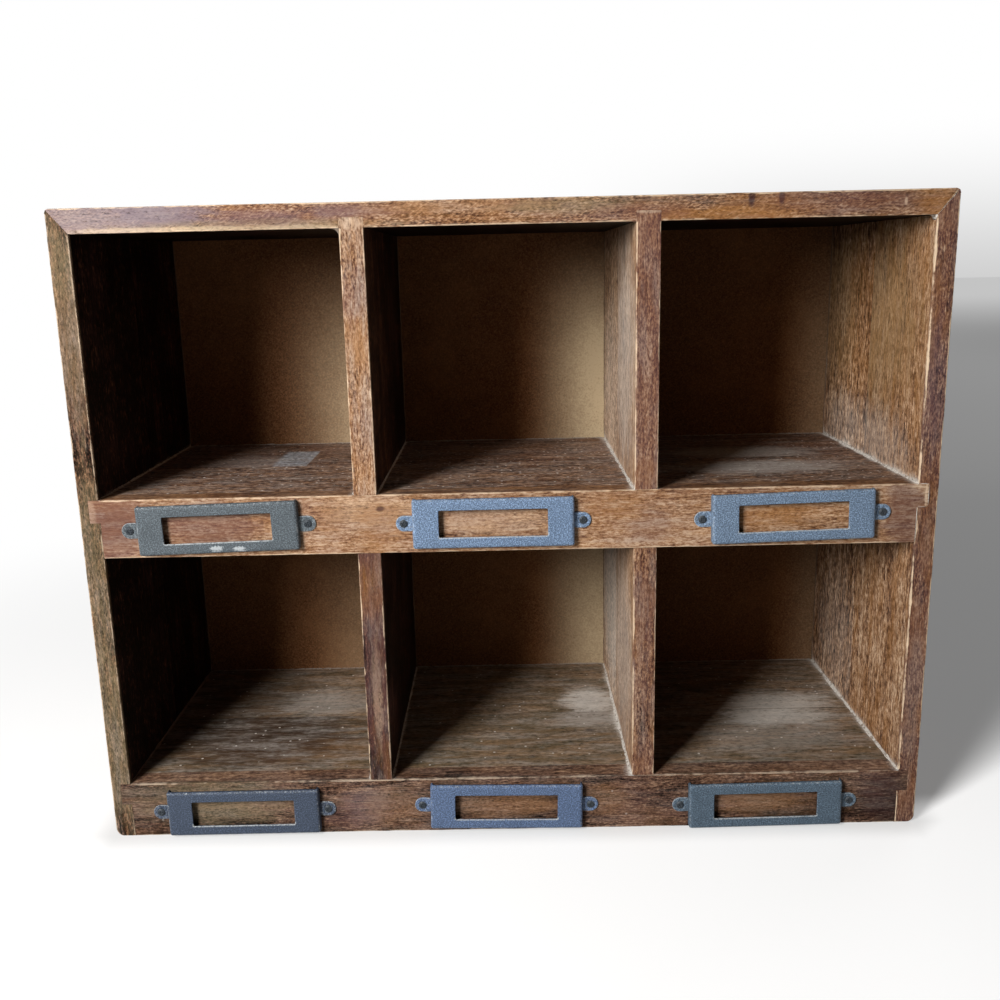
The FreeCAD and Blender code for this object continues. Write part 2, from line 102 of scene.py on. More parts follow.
edgeLook = {  # the worn arrises of every board
    "step": 2.0 * mm, "nearCorner": (0.35 * mm, 1.0 * mm), "cornerRoom": 1.4 * mm,
    "wander": ((0.35, 11 * mm), (0.25, 2.6 * mm)), "leastWorn": 0.25, "mostWorn": 2.2,
    "nickDepth": (0.5, 1.3), "nickWidth": (1.2, 4.0), "nickFrom": 0.6, "nickBy": 0.5 * mm,
    "frontRings": ((0.5 * mm, 0.0), (0.22 * mm, 0.3)), "turns": (0, 22, 45, 68, 90), "fade": 1.2 * mm,
    "sideWear": 0.8, "backWear": 0.1, "hiddenWear": 0.12, "fullWear": 0.55 * mm,
}


# Points round a closed outline: each edge is cut into even steps, with two closer points beside its ends.
# Every corner is (x, z, worn radius of the edge that starts there), anticlockwise as seen from the front.
# A point moves inwards by its normal plus t times its edge, t going from tan(a/2) to -tan(b/2), where a and b
# are the turns at the ends of the edge, so that every ring keeps its corners and never crosses itself.
def roundOutline(corners, step):
    corners = np.array(corners, float)
    runs = np.roll(corners, -1, axis=0)[:, :2] - corners[:, :2]
    lengths = np.hypot(*runs.T)
    along = runs / lengths[:, None]
    before = np.roll(along, 1, axis=0)
    cross = before[:, 0] * along[:, 1] - before[:, 1] * along[:, 0]
    turns = cross / (1 + (before * along).sum(1))
    room = edgeLook["cornerRoom"]
    points, inward, worn = [], [], []
    for k, length in enumerate(lengths):
        near = [d for d in edgeLook["nearCorner"] if d < length / 3]
        inner = np.linspace(0, length, max(2, int(np.ceil(length / step)) + 1))[1:-1]
        inner = inner[(inner > room) & (inner < length - room)]
        places = np.concatenate([[0], near, inner, length - np.array(near[::-1])])
        share = (places / length)[:, None]
        slide = turns[k] * (1 - share) - turns[(k + 1) % len(turns)] * share
        points.append(corners[k, :2] + places[:, None] * along[k])
        inward.append(np.array([-along[k, 1], along[k, 0]]) + slide * along[k])
        first = min(corners[k, 2], corners[k - 1, 2])
        worn.append(np.concatenate([[first], np.full(len(places) - 1, corners[k, 2])]))
    return np.vstack(points), np.vstack(inward), np.concatenate(worn)


# A board: its outline carried from front to back, each ring moved inwards by r(1 - cos a) and back by
# r(1 - sin a) round the front and back arris, where r is the worn radius times noise along the edge.
def boardShell(corners, y0, y1, seed, step=edgeLook["step"], back=0.15 * mm, nicks=0):
    e = edgeLook
    points, inward, worn = roundOutline(corners, step)
    travelled = np.cumsum(np.hypot(*(points - np.roll(points, 1, axis=0)).T))
    uneven = 1
    for number, (weight, knot) in enumerate(e["wander"]):
        uneven = uneven + weight * lineNoise(travelled, knot, seed + number)
    radius = worn * np.clip(uneven, e["leastWorn"], e["mostWorn"])
    pick = np.random.default_rng(seed + 2)
    for place, size, width in zip(pick.uniform(0, travelled[-1], nicks), pick.uniform(*e["nickDepth"], nicks),
                                  pick.uniform(*e["nickWidth"], nicks)):
        bump = np.exp(-((travelled - place) / (width * mm)) ** 2)
        radius = radius + size * mm * bump * np.clip(worn / e["nickBy"] - e["nickFrom"], 0, 1)
    backRadius = np.minimum(radius, back)
    angles = np.radians(e["turns"])
    rings = [(r + radius, y0 + 0 * radius, w) for r, w in e["frontRings"]]
    rings += [(radius * (1 - np.cos(a)), y0 + radius * (1 - np.sin(a)), 1.0) for a in angles[::-1]]
    front, rear = y0 + radius, y1 - backRadius
    for share in np.linspace(0, 1, max(3, int((y1 - y0) / step)))[1:-1]:
        rings.append((0 * radius, front + share * (rear - front), None))
    rings += [(backRadius * (1 - np.cos(a)), y1 - backRadius * (1 - np.sin(a)), e["backWear"])
              for a in angles[::2]]
    inset = np.array([ring[0] for ring in rings])
    depth = np.array([ring[1] for ring in rings])
    flat = points[None] + inset[..., None] * inward[None]
    vertices = np.stack([flat[..., 0], depth, flat[..., 1]], axis=-1)
    fade = np.clip(1 - (depth - front) / e["fade"], 0, 1) * e["sideWear"]
    wear = np.array([f if ring[2] is None else ring[2] + 0 * f for ring, f in zip(rings, fade)])
    wear = wear * np.clip(radius / e["fullWear"], 0.1, 1) * (1.0 if y0 < frontY + 1 * mm else e["hiddenWear"])
    return vertices, wear


# Quads between neighbouring rings of a grid that closes on itself, with a many-sided face at both ends
def ringFaces(rings, around, offset=0, capped=True):
    k, i = np.meshgrid(np.arange(rings - 1), np.arange(around), indexing="ij")
    j = (i + 1) % around
    quads = np.stack([k * around + i, (k + 1) * around + i, (k + 1) * around + j, k * around + j], axis=-1)
    faces = (quads.reshape(-1, 4) + offset).tolist()
    if capped:
        faces.append((np.arange(around) + offset).tolist())
        faces.append(((rings - 1) * around + np.arange(around)[::-1] + offset).tolist())
    return faces


# Several shells as one mesh: points and values end to end, faces moved on by the points before them
def joinShells(shells):
    vertices, values, faces, count = [], [], [], 0
    for part, worn, closed in shells:
        faces += ringFaces(part.shape[0], part.shape[1], count, capped=closed == "caps")
        if closed == "loop":  # the last row joins the first
            around, last = part.shape[1], (part.shape[0] - 1) * part.shape[1]
            i = np.arange(around)
            j = (i + 1) % around
            faces += (np.stack([last + i, i, j, last + j], axis=-1) + count).tolist()
        vertices.append(part.reshape(-1, 3))
        values.append(worn.ravel())
        count += vertices[-1].shape[0]
    return np.vstack(vertices), np.concatenate(values), faces


cornerDust = {  # strength and width along each corner line of a pigeonhole
    "floorRight": (1.0, 2.6 * mm), "floorLeft": (0.55, 1.8 * mm), "floorBack": (0.35, 2.0 * mm),
    "backRight": (0.45, 2.4 * mm), "backLeft": (0.20, 1.6 * mm),
}
shadedCubby, shadedCornerShare = 3, 0.2  # the lower left one lies in shade: its left floor corner has this share of dust and glue, painted shade
cubbyHeight, cubbyMargin = 0.14, 0.2 * mm


# Dust that gathers in the corners of the pigeonholes: each corner line adds its strength times
# exp(-distance / width), with noise along the line
def dustAt(vertices):
    x, y, z = vertices.reshape(-1, 3).T
    dust = np.zeros(len(x))
    for number, (left, right, floor) in enumerate(cubbies):
        inside = (x > left - cubbyMargin) & (x < right + cubbyMargin)
        inside = inside & (z > floor - cubbyMargin) & (z < floor + cubbyHeight)
        distances = {
            "floorRight": (np.hypot(right - x, z - floor), y),
            "floorLeft": (np.hypot(x - left, z - floor), y),
            "floorBack": (np.hypot(seatY - y, z - floor), x),
            "backRight": (np.hypot(right - x, seatY - y), z),
            "backLeft": (np.hypot(x - left, seatY - y), z),
        }
        for key, (distance, along) in distances.items():
            strength, width = cornerDust[key]
            strength = strength * (shadedCornerShare if (number, key) == (shadedCubby, "floorLeft") else 1)
            uneven = 0.75 + 0.45 * lineNoise(along + 0.3, 11 * mm, 50 + number)
            dust += inside * strength * uneven * np.exp(-distance / width)
    return np.clip(dust, 0, 1.2)


# A mesh object from points, faces and named values at its points, smooth and standing at the origin
def makePiece(name, vertices, faces, values, material, replaced=()):
    mesh = bpy.data.meshes.new(name)
    mesh.from_pydata(vertices.reshape(-1, 3).tolist(), [], faces)
    mesh.polygons.foreach_set("use_smooth", np.ones(len(mesh.polygons), bool))
    for key, numbers in values.items():
        layer = mesh.attributes.new(key, "FLOAT", "POINT")
        layer.data.foreach_set("value", numbers.ravel().astype(np.float32))
    mesh.materials.append(material)
    piece = bpy.data.objects.new(name, mesh)
    bpy.context.scene.collection.objects.link(piece)
    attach(piece, "root")
    if replaced:
        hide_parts(*replaced)
    return piece


# One wrapped socket: operators add Math nodes, and node() adds any other
class Flow:
    def __init__(self, tree, socket=None):
        self.tree = tree
        self.socket = socket

    def node(self, kind, settings=None, inputs=None, output=0):
        made = self.tree.nodes.new("ShaderNode" + kind)
        for key, value in (settings or {}).items():
            if key == "stops":
                while len(made.color_ramp.elements) < len(value):
                    made.color_ramp.elements.new(0.5)
                for element, (place, colour) in zip(made.color_ramp.elements, value):
                    element.position = place
                    element.color = (*colour, 1)
            else:
                setattr(made, key, value)
        for key, value in (inputs or {}).items():
            if isinstance(value, Flow):
                self.tree.links.new(value.socket, made.inputs[key])
            else:
                made.inputs[key].default_value = value
        return Flow(self.tree, made.outputs[output] if len(made.outputs) else None)

    def math(self, operation, *others):
        return self.node("Math", {"operation": operation}, dict(enumerate((self, *others))))

    def __add__(self, other):
        return self.math("ADD", other)

    def __mul__(self, other):
        return self.math("MULTIPLY", other)

    def __sub__(self, other):
        return self.math("SUBTRACT", other)

    def __rsub__(self, other):
        return self.node("Math", {"operation": "SUBTRACT"}, {0: other, 1: self})

    __radd__ = __add__
    __rmul__ = __mul__

    # The piece's own coordinates
    def place(self):
        return self.node("TexCoord", output="Object")

    # A value that the mesh carries at its points
    def carried(self, name):
        return self.node("Attribute", {"attribute_name": name}, output="Fac")

    # A plain colour to start from
    def paint(self, colour):
        made = self.node("RGB")
        made.socket.default_value = (*colour, 1)
        return made

    # This vector's X, Y and Z, and its length
    def split(self):
        return [self.node("SeparateXYZ", {}, {0: self}, output=letter) for letter in "XYZ"]

    def length(self):
        return self.node("VectorMath", {"operation": "LENGTH"}, {0: self}, output="Value")

    # 0 below low, 1 above high, with a smooth step between them
    def rise(self, low, high):
        return self.node("MapRange", {"interpolation_type": "SMOOTHSTEP"},
                         {"Value": self, "From Min": low, "From Max": high})

    # This vector turned, then times scale, then shifted to a place
    def moved(self, place, scale, turn=None):
        turned = self.node("Mapping", {}, {"Vector": self, "Rotation": turn}) if turn else self
        return turned.node("Mapping", {}, {"Vector": turned, "Location": place, "Scale": scale})

    # Noise from 0 to 1 on this vector, stretched by scale (one number, or one for each axis)
    def noise(self, scale, place=(0, 0, 0), detail=3.0, rough=0.55, turn=None):
        moved = self.moved(place, np.broadcast_to(scale, 3).tolist(), turn)
        values = {"Vector": moved, "Scale": 1.0, "Detail": detail, "Roughness": rough}
        return moved.node("TexNoise", {}, values)

    # This colour mixed with another one by a factor
    def blend(self, factor, colour):
        if not isinstance(colour, Flow):
            colour = (*colour, 1)
        return self.node("Mix", {"data_type": "RGBA"}, {0: factor, 6: self, 7: colour}, output=2)

    # This shader sent to an output node
    def show(self, kind="OutputMaterial"):
        self.node(kind, {}, {"Surface": self})


# A colour written as 0 to 255 screen values, made linear
def shade(red, green, blue):
    values = np.array([red, green, blue]) / 255
    return tuple(np.where(values < 0.04045, values / 12.92, ((values + 0.055) / 1.055) ** 2.4).tolist())


# An empty material, and the flow that fills it
def newMaterial(name):
    material = bpy.data.materials.new(name)
    material.use_nodes = True
    material.node_tree.nodes.clear()
    return material, Flow(material.node_tree)


# The end of every material: a bump from the height, and one surface that takes it
def showSurface(flow, colour, rough, height, bump, shine, metallic=0.0):
    strength, distance = bump
    normal = flow.node("Bump", {}, {"Strength": strength, "Distance": distance, "Height": height})
    flow.node("BsdfPrincipled", {}, {
        "Base Color": colour, "Roughness": rough, "Normal": normal, "Specular IOR Level": shine,
        "Metallic": metallic}).show()


# Stained wood. Growth rings are the distance from a leaning heart line; fibres, mottle, streaks, bands and
# blotch are noise, mostly drawn out along the grain, and each adds its distance from one half times a weight.
# Light and purple are given for the front, for the faces behind it that are turned to the light, and for those
# turned away: this is painted light and shade, each kind of face getting its own tone for how the light falls
# on
# it, the turned away ones such as the left walls and the undersides mostly darker. A patch is a soft
# ellipsoid:
# its stain, x, z and both half sizes where it stays on the front, or x, y, z and three half sizes, then its
# strength. A mark is a box seen from above: its stain, (left, right, near, rear), the softness of its left
# edge, its strength. Both are in mm.
stain = {
    "black": shade(14, 8, 5), "dark": shade(46, 28, 20), "brown": shade(104, 70, 50),
    "tan": shade(164, 124, 90), "pale": shade(216, 186, 156), "cream": shade(228, 202, 172),
    "gold": shade(160, 110, 60), "olive": shade(150, 132, 98), "purple": shade(106, 72, 70),
    "plum": shade(52, 26, 26), "grey": shade(150, 136, 140), "lilac": shade(130, 116, 124),
    "haze": shade(176, 168, 160), "dust": shade(222, 216, 208), "cool": shade(168, 178, 186),
}
toneStops = ((0.0, "black"), (0.14, "dark"), (0.38, "brown"), (0.62, "tan"), (0.92, "pale"))
woodLook = {
    "light": (0.0, -0.04, -0.35), "purple": (0.3, 0.1, 0.1), "grain": (6.0, 0.7), "fibre": 0.7, "mottle": 1.5,
    "veins": 0.06, "streaks": 0.55, "bands": 0.4, "blotch": 0.5, "figure": 0.10, "ring": 7.0, "waviness": 5.0,
    "lean": 0.05, "turn": (0.03, -0.02, 0.04), "insideGrain": (8.0, 1.1), "pores": 0.06, "hatch": 0.28,
    "hatchTurn": 0.0, "film": 0.12, "rubbed": 0.7, "dusty": 0.75, "specks": 0.004, "warm": 0.45,
    "saturation": 1.0, "contrast": 0.8, "shine": 0.03, "bare": 0.15, "lines": 0.0, "patches": (), "marks": (),
}
grainSizes = {  # length along the grain and width in mm, detail and roughness of each noise
    "mottle": (1.7, 0.75, 2, 0.7), "insideMottle": (3, 1.8, 3, 0.75), "outerFibres": (18, 1.1, 3, 0.62),
    "streaks": (34, 1.6, 4, 0.62), "bands": (140, 11, 2, 0.5), "blotch": (30, 30, 4, 0.62),
    "waves": (90, 22, 2, 0.5), "cuts": (3.4, 0.5, 2, 0.55), "warm": (30, 8, 4, 0.6),
    "ragged": (16, 4, 5, 0.7), "pores": (4.5, 0.5, 1, 0.5), "film": (30, 6, 5, 0.72),
    "lines": (9, 0.8, 3, 0.7), "rub": (4, 1.2, 3, 0.7), "reach": (26, 26, 2, 0.5),
    "grit": (1.3, 1.3, 3, 0.75),
}
grainPlaces = {"film": (3, 5, 7), "lines": (5, 8, 2), "rub": (9, 2, 5), "reach": (2, 9, 4), "grit": (1, 2, 3)}
skin = {  # depths over which the front, a board's middle and the case's outside give way to the next face
    "front": (0.8 * mm, 3.0 * mm), "middle": 0.5 * mm, "outside": (1.5 * mm, 0.5 * mm), "calm": 0.6,
}
span = {  # values at which each layer begins and is full
    "ring": (0.0, 0.62), "ringEnd": (0.72, 1.0), "warm": (0.45, 0.62), "patch": (0.45, 1.25),
    "mark": (0.7, 1.2), "purple": (0.05, 0.95), "veins": (0.50, 0.64), "pores": (0.58, 0.72),
    "cuts": (0.02, 0.12), "film": (0.40, 0.70), "filmGrain": (0.55, 1.05), "lines": (0.56, 0.66),
    "rubbed": (0.25, 0.75), "settled": (0.10, 0.95), "dust": (0.0, 0.3), "speck": (0.16, 0.32),
}
tint = {"gold": 0.65, "purple": 0.62, "purpleMost": 0.80, "cuts": 0.35, "specks": 0.9}
speckScale, markEdges, woodBump = 420.0, (0.8, 1.6), (0.6, 0.25 * mm)


# The wood of one board, its grain along one axis: the tone's colour, then patches and layers blended over it
def woodMaterial(name, axis, middle, look):
    look = {**woodLook, **look}
    material, flow = newMaterial(name)
    place = flow.place()
    across, depth, up = place.split()
    wear, dust = flow.carried("wear"), flow.carried("dust")
    seed = look["seed"]
    shift = (seed * 1.7 % 11, seed * 2.3 % 13, seed * 3.1 % 17)
    places = {**grainPlaces, "warm": [s + 4 for s in shift]}

    def along(length, width):  # scale for noise drawn out along the grain, from sizes in millimetres
        scale = [1 / (width * mm)] * 3
        scale[axis] = 1 / (length * mm)
        return scale

    def grain(kind, turn=None):  # the noise of that name
        length, width, detail, rough = grainSizes[kind]
        return place.noise(along(length, width), places.get(kind, shift), detail, rough, turn)

    inside = depth.rise(*[frontY + d for d in skin["front"]])
    # turned is 1 on the faces turned away from the light, which the tones below paint in shade
    turned = across - middle[0] if axis == 2 else middle[2] - up
    turned = turned.rise(-skin["middle"], skin["middle"])

    def level(key):  # the front's value, giving way to the lit and then to the turned away one: painted light and shade
        front, lit, away = look[key]
        return front + inside * (lit - front + turned * (away - lit))

    lean = [1 / (look["ring"] * mm)] * 3
    lean[axis] = lean[axis] * look["lean"]
    heart = [shift[0] * 1.1, shift[1] * 0.7, shift[2] * 0.9]
    rings = place.moved(heart, lean, look["turn"]).length()
    rings = (rings + grain("waves") * look["waviness"]).math("FRACT")
    rings = rings.rise(*span["ring"]) - rings.rise(*span["ringEnd"])
    fibres = place.noise(along(*look["grain"]), shift, 2, 0.6)
    coarse = place.noise(along(*look["insideGrain"]), shift, 3, 0.7)
    fibres = fibres + inside * (coarse - fibres)
    mottle = grain("mottle")
    mottle = mottle + inside * (grain("insideMottle") - mottle)
    outer = across.math("ABSOLUTE").rise(*[outerX - d for d in skin["outside"]])
    outer = outer.math("MAXIMUM", up.rise(*[topZ - d for d in skin["outside"]])) * inside
    mottle = mottle + outer * (0.5 - mottle) * skin["calm"]
    fibres = fibres + outer * (grain("outerFibres") - fibres)
    streaks, bands, blotch = grain("streaks"), grain("bands"), grain("blotch")
    cuts = grain("cuts", (0, look["hatchTurn"], 0))
    cuts = (cuts - 0.5) * (1 - inside) * look["hatch"]
    tone = level("light") + 0.5 + cuts * 2.0
    for part, weight in ((fibres, "fibre"), (mottle, "mottle"), (streaks, "streaks"), (bands, "bands"),
                         (blotch, "blotch"), (rings, "figure")):
        tone = tone + (part - 0.5) * look[weight]
    stops = [(at, stain[kind]) for at, kind in toneStops]
    colour = tone.node("ValToRGB", {"stops": stops}, {"Fac": tone})
    # painted shade: inner faces turned away from the light get no warm gold
    warm = grain("warm").rise(*span["warm"]) * (1 - inside * turned) * look["warm"]
    colour = colour.blend(warm, colour.blend(tint["gold"], stain["gold"]))
    purple = (blotch - 0.5) * 1.6 + (streaks - 0.5) * 1.2 + level("purple")
    ragged = (grain("ragged") - 0.5) * 1.6
    for kind, *numbers, strength in look["patches"]:
        onFront = len(numbers) == 4
        if onFront:
            x, z, wide, tall = numbers
            numbers = x, 0, z, wide, 0, tall
        scale = [1 / (size * mm) if size else 0 for size in numbers[3:]]
        spot = place.moved([-c * mm * k for c, k in zip(numbers, scale)], scale)
        mask = (1 - (spot.length() + ragged).rise(*span["patch"])) * strength
        mask = mask * (1 - inside) if onFront else mask
        if kind == "purple":
            purple = purple + mask
        else:
            uneven = (mottle * 2.0 + streaks * 1.4 - 0.8).rise(0.0, 1.0)
            colour = colour.blend(mask * uneven, stain[kind])
    for kind, (left, right, near, rear), soft, strength in look["marks"]:
        fine, broad = markEdges
        mask = across.rise((left - soft) * mm, (left + soft) * mm)
        mask = mask * (1 - across.rise(right * mm, (right + fine) * mm))
        mask = mask * depth.rise(near * mm, (near + broad) * mm)
        mask = mask * (1 - depth.rise(rear * mm, (rear + broad) * mm))
        colour = colour.blend(mask * (streaks + mottle).rise(*span["mark"]) * strength, stain[kind])
    purple = purple.rise(*span["purple"]) * tint["purpleMost"]
    colour = colour.blend(purple, colour.blend(tint["purple"], stain["purple"]))
    veins = (fibres * 0.6 + mottle * 0.4).rise(*span["veins"])
    pores, lines = [grain(key).rise(*span[key]) for key in ("pores", "lines")]
    film = grain("film").rise(*span["film"]) * (fibres + mottle * 0.9 - 0.05).rise(*span["filmGrain"])
    # painted shade: inner faces turned away from the light get no haze
    film = film * (1 - inside * turned)
    rubbed = wear * 0.9 + (grain("rub") - 0.5) * 1.5 + (grain("reach") - 0.5) * 1.0 - look["bare"]
    settled = (dust * 1.2 + grain("grit") * 1.1 - 0.6).rise(*span["settled"]) * dust.rise(*span["dust"])
    cells, chosen = [place.node("TexVoronoi", {}, {"Vector": place, "Scale": speckScale}, output=key)
                     for key in ("Distance", "Color")]
    chosen = chosen.node("SeparateColor", {}, {0: chosen})
    chosen = chosen.rise(1 - look["specks"], 1.01 - look["specks"])
    specks = (1 - cells.rise(*span["speck"])) * chosen
    for mask, share, kind in (
            (veins, look["veins"], "dark"), (pores, look["pores"], "plum"),
            (cuts.rise(*span["cuts"]), tint["cuts"], "pale"), (film, look["film"], "haze"),
            (lines, look["lines"], "dust"), (rubbed.rise(*span["rubbed"]), look["rubbed"], "cream"),
            (settled, look["dusty"], "dust"), (specks, tint["specks"], "dust")):
        colour = colour.blend(mask * share, stain[kind])
    grainy = 1 + (mottle * 0.6 + fibres * 0.4 - 0.5) * (1 + (inside - outer) * 0.8) * look["contrast"]
    colour = colour.node("HueSaturation", {}, {
        "Color": colour, "Saturation": look["saturation"], "Value": grainy})
    rough = 0.46 + settled * 0.35 + (fibres - 0.5) * 0.3 + film * 0.15
    height = fibres * 0.5 + streaks * 0.3 - pores * 0.4 + mottle * 0.3 + settled * 0.8 + cuts
    showSurface(flow, colour, rough, height, woodBump, look["shine"])
    return material


wornEdge, snugEdge = 0.42 * mm, 0.20 * mm  # radii of a worn arris, and of one in a joint
thinEdge, backEdge, rearEdge = 0.05 * mm, 0.15 * mm, 0.5 * mm  # a sharp one, a back one, and the case's rear
shoulderRadius, shoulderEdge, footRadius = 2.0 * mm, 0.10 * mm, 4 * mm


# A whole board: its shells, each (outline, front, back), joined, with its own wood along one axis
def makeBoard(name, shells, axis, look, nodes, nicks=6, back=backEdge):
    parts = [(*boardShell(corners, y0, y1, look["seed"] * 10 + number, back=back, nicks=nicks), "caps")
             for number, (corners, y0, y1) in enumerate(shells)]
    vertices, wear, faces = joinShells(parts)
    middle = (vertices.min(0) + vertices.max(0)) / 2
    material = woodMaterial(f"{name}_wood", axis, middle, look)
    makePiece(name, vertices, faces, {"wear": wear, "dust": dustAt(vertices)}, material, nodes)
    print(f"{name}: {len(faces)} faces")


# A plain upright rectangle between two corners, as an outline with a worn radius for each edge
def bar(low, high, radii=(thinEdge,) * 4):
    return [(low[0], low[2], radii[0]), (high[0], low[2], radii[1]), (high[0], high[2], radii[2]),
            (low[0], high[2], radii[3])]


# Top board, mitred at both ends, with a housing for each upper divider
topLook = {
    "front": {"seed": 3, "light": (-0.07, -0.05, -1.1), "purple": (0.22, 0.2, 0.1), "hatch": 0.34,
        "hatchTurn": 0.6, "film": 0.2, "mottle": 1.4, "patches": [
        ("grey", -180, 303, 40, 14, 0.75), ("lilac", -150, 305, 26, 5, 0.85),
        ("lilac", -110, 302, 30, 4, 0.45), ("cream", -130, 298.7, 70, 1.4, 0.6),
        ("lilac", -72, 305, 14, 3, 0.5), ("olive", -110, 300, 60, 2.5, 0.4),
        ("purple", -95, 304, 50, 5, 0.5), ("tan", -20, 306, 50, 3, 0.5), ("olive", 30, 305, 32, 4, 0.45),
        ("purple", 60, 302, 26, 5, 0.4), ("gold", 95, 300, 34, 3, 0.6), ("gold", 120, 303, 34, 6, 0.45),
        ("brown", 170, 303, 30, 6, 0.45), ("purple", 150, 304, 40, 6, 0.4), ("gold", 193, 303, 10, 10, 0.6),
        ("plum", 110.9, 306.5, 1.5, 4.2, 0.95), ("plum", 124.1, 306.2, 1.3, 3.8, 0.9),
        ("pale", 179, 304, 0.7, 1.6, 0.9)]},
    "back": {"seed": 4, "light": (0, -0.05, -1.1), "purple": (0.35, 0.2, 0.1), "film": 0.25},
}


# A point of the outer upper corner, worn round: x = outerX - r (1 - cos a), z = topZ - r (1 - sin a)
def shoulder(degrees, worn, sign=1):
    a = radians(degrees)
    return sign * (outerX - shoulderRadius * (1 - np.cos(a))), topZ - shoulderRadius * (1 - np.sin(a)), worn


# Outline of the top board: its underside steps up into each housing, its ends run along the mitre to the worn
# corners. With a bottom above the ceiling it is the part over the back panel, cut off at that height.
def topCorners(bottom):
    corners = [(-innerX, ceilingZ, wornEdge)]
    for name in ("upper_left", "upper_right"):
        low, high = dividers[name]
        corners += [(low[0], ceilingZ, snugEdge), (low[0], high[2], snugEdge), (high[0], high[2], snugEdge),
                    (high[0], ceilingZ, wornEdge)]
    over = [shoulder(45, shoulderEdge), shoulder(90, wornEdge), shoulder(90, shoulderEdge, -1),
            shoulder(45, snugEdge, -1)]
    corners += [(innerX, ceilingZ, wornEdge)] + over
    if bottom > ceilingZ:
        slope = (outerX - innerX) / (topZ - ceilingZ)
        reach = innerX + slope * (bottom - ceilingZ)
        corners = [(-reach, bottom, snugEdge), (reach, bottom, snugEdge)] + over
    return corners


panelRoom = 0.3 * mm
makeBoard("top_front_board", [(topCorners(0), frontY, seamY)], 0, topLook["front"],
          ["top_board_front_stave"])
topBackShells = [(topCorners(0), seamY, seatY), (topCorners(panelHigh[2] + panelRoom), seatY, backY)]
makeBoard("top_back_board", topBackShells, 0, topLook["back"], ["top_board_back_stave"],
          back=rearEdge)


# Sides, mitred at the top, housed for both shelves, with a rounded outer foot
sideLook = {
    "left_front": {"seed": 11, "light": (-0.34, -0.06, -0.5), "purple": (-0.3, 0.1, 0.1), "pores": 0.4,
        "film": 0.2, "grain": (5, 0.8), "fibre": 0.8, "mottle": 1.3, "contrast": 0.6, "blotch": 0.2,
        "bands": 0.2, "streaks": 0.35, "rubbed": 0.5, "warm": 0.1, "saturation": 0.95, "patches": [
        ("olive", -199, 262, 12, 50, 0.4), ("brown", -199, 240, 12, 36, 0.35),
        ("olive", -199, 140, 9, 60, 0.35), ("olive", -199, 50, 12, 50, 0.4)]},
    "left_back": {"seed": 12, "light": (0, -0.06, -0.55), "purple": (0.1, 0.1, 0.1)},
    "right_front": {"seed": 13, "light": (-0.1, 0.05, 0.1), "purple": (0.75, -0.4, 0.3), "pores": 0.3,
        "film": 0.15, "mottle": 1.4, "rubbed": 0.9, "bare": 0.05, "fibre": 1.1, "warm": 0.6, "patches": [
        ("gold", 194, -30, 250, 4, 50, 50, 0.45), ("olive", 193, -10, 250, 3, 60, 50, 0.35),
        ("dust", 192, -10, 185, 3, 60, 22, 0.25), ("lilac", 198, 220, 6, 30, 0.3),
        ("haze", 198, 70, 5, 40, 0.25), ("tan", 199, 296, 9, 6, 0.3)]},
    "right_back": {"seed": 14, "light": (0, 0.02, 0.1), "purple": (0.3, -0.3, 0.3), "fibre": 1.5,
        "contrast": 1.4, "patches": [
        ("gold", 194, 40, 250, 4, 60, 50, 0.4), ("olive", 193, 60, 250, 3, 40, 50, 0.3),
        ("dust", 192, 30, 185, 3, 50, 24, 0.25), ("haze", 192, 30, 60, 3, 45, 50, 0.3)]},
}


# Outline of a side: its foot x = outerX - r (1 - sin a), z = r (1 - cos a), the worn corner, the mitre down
# to the inner face, and a step into the housing of each shelf
def sideCorners(sign, inner=innerX, housed=True):
    turns = np.radians(np.linspace(0, 90, 7))
    foot = [(outerX - footRadius * (1 - np.sin(a)), footRadius * (1 - np.cos(a)), wornEdge) for a in turns]
    slope = (topZ - ceilingZ) / (outerX - innerX)
    corners = [(inner, 0, wornEdge)] + foot + [shoulder(0, shoulderEdge), shoulder(45, snugEdge)]
    corners.append((inner, ceilingZ + slope * (inner - innerX), wornEdge))
    if housed:
        for low, high in ((lowerCeiling, upperFloor), (lowShelfUnder, lowerFloor)):
            corners += [(inner, high, snugEdge), (housedX, high, snugEdge), (housedX, low, snugEdge),
                        (inner, low, wornEdge)]
    corners = np.array(corners)
    if sign < 0:  # mirrored, and read backwards so that it still runs anticlockwise
        corners = corners[::-1] * np.array([-1, 1, 1])
        corners[:, 2] = np.roll(corners[:, 2], -1)
    return corners


for hand, sign in (("left", -1), ("right", 1)):
    makeBoard(f"{hand}_side_front_board", [(sideCorners(sign), frontY, seamY)], 2, sideLook[f"{hand}_front"],
              [f"{hand}_side_front_stave"], nicks=9)
    sideShells = [(sideCorners(sign), seamY, seatY), (sideCorners(sign, housedX, False), seatY, backY)]
    makeBoard(f"{hand}_side_back_board", sideShells, 2, sideLook[f"{hand}_back"],
              [f"{hand}_side_back_stave"], nicks=3, back=rearEdge)


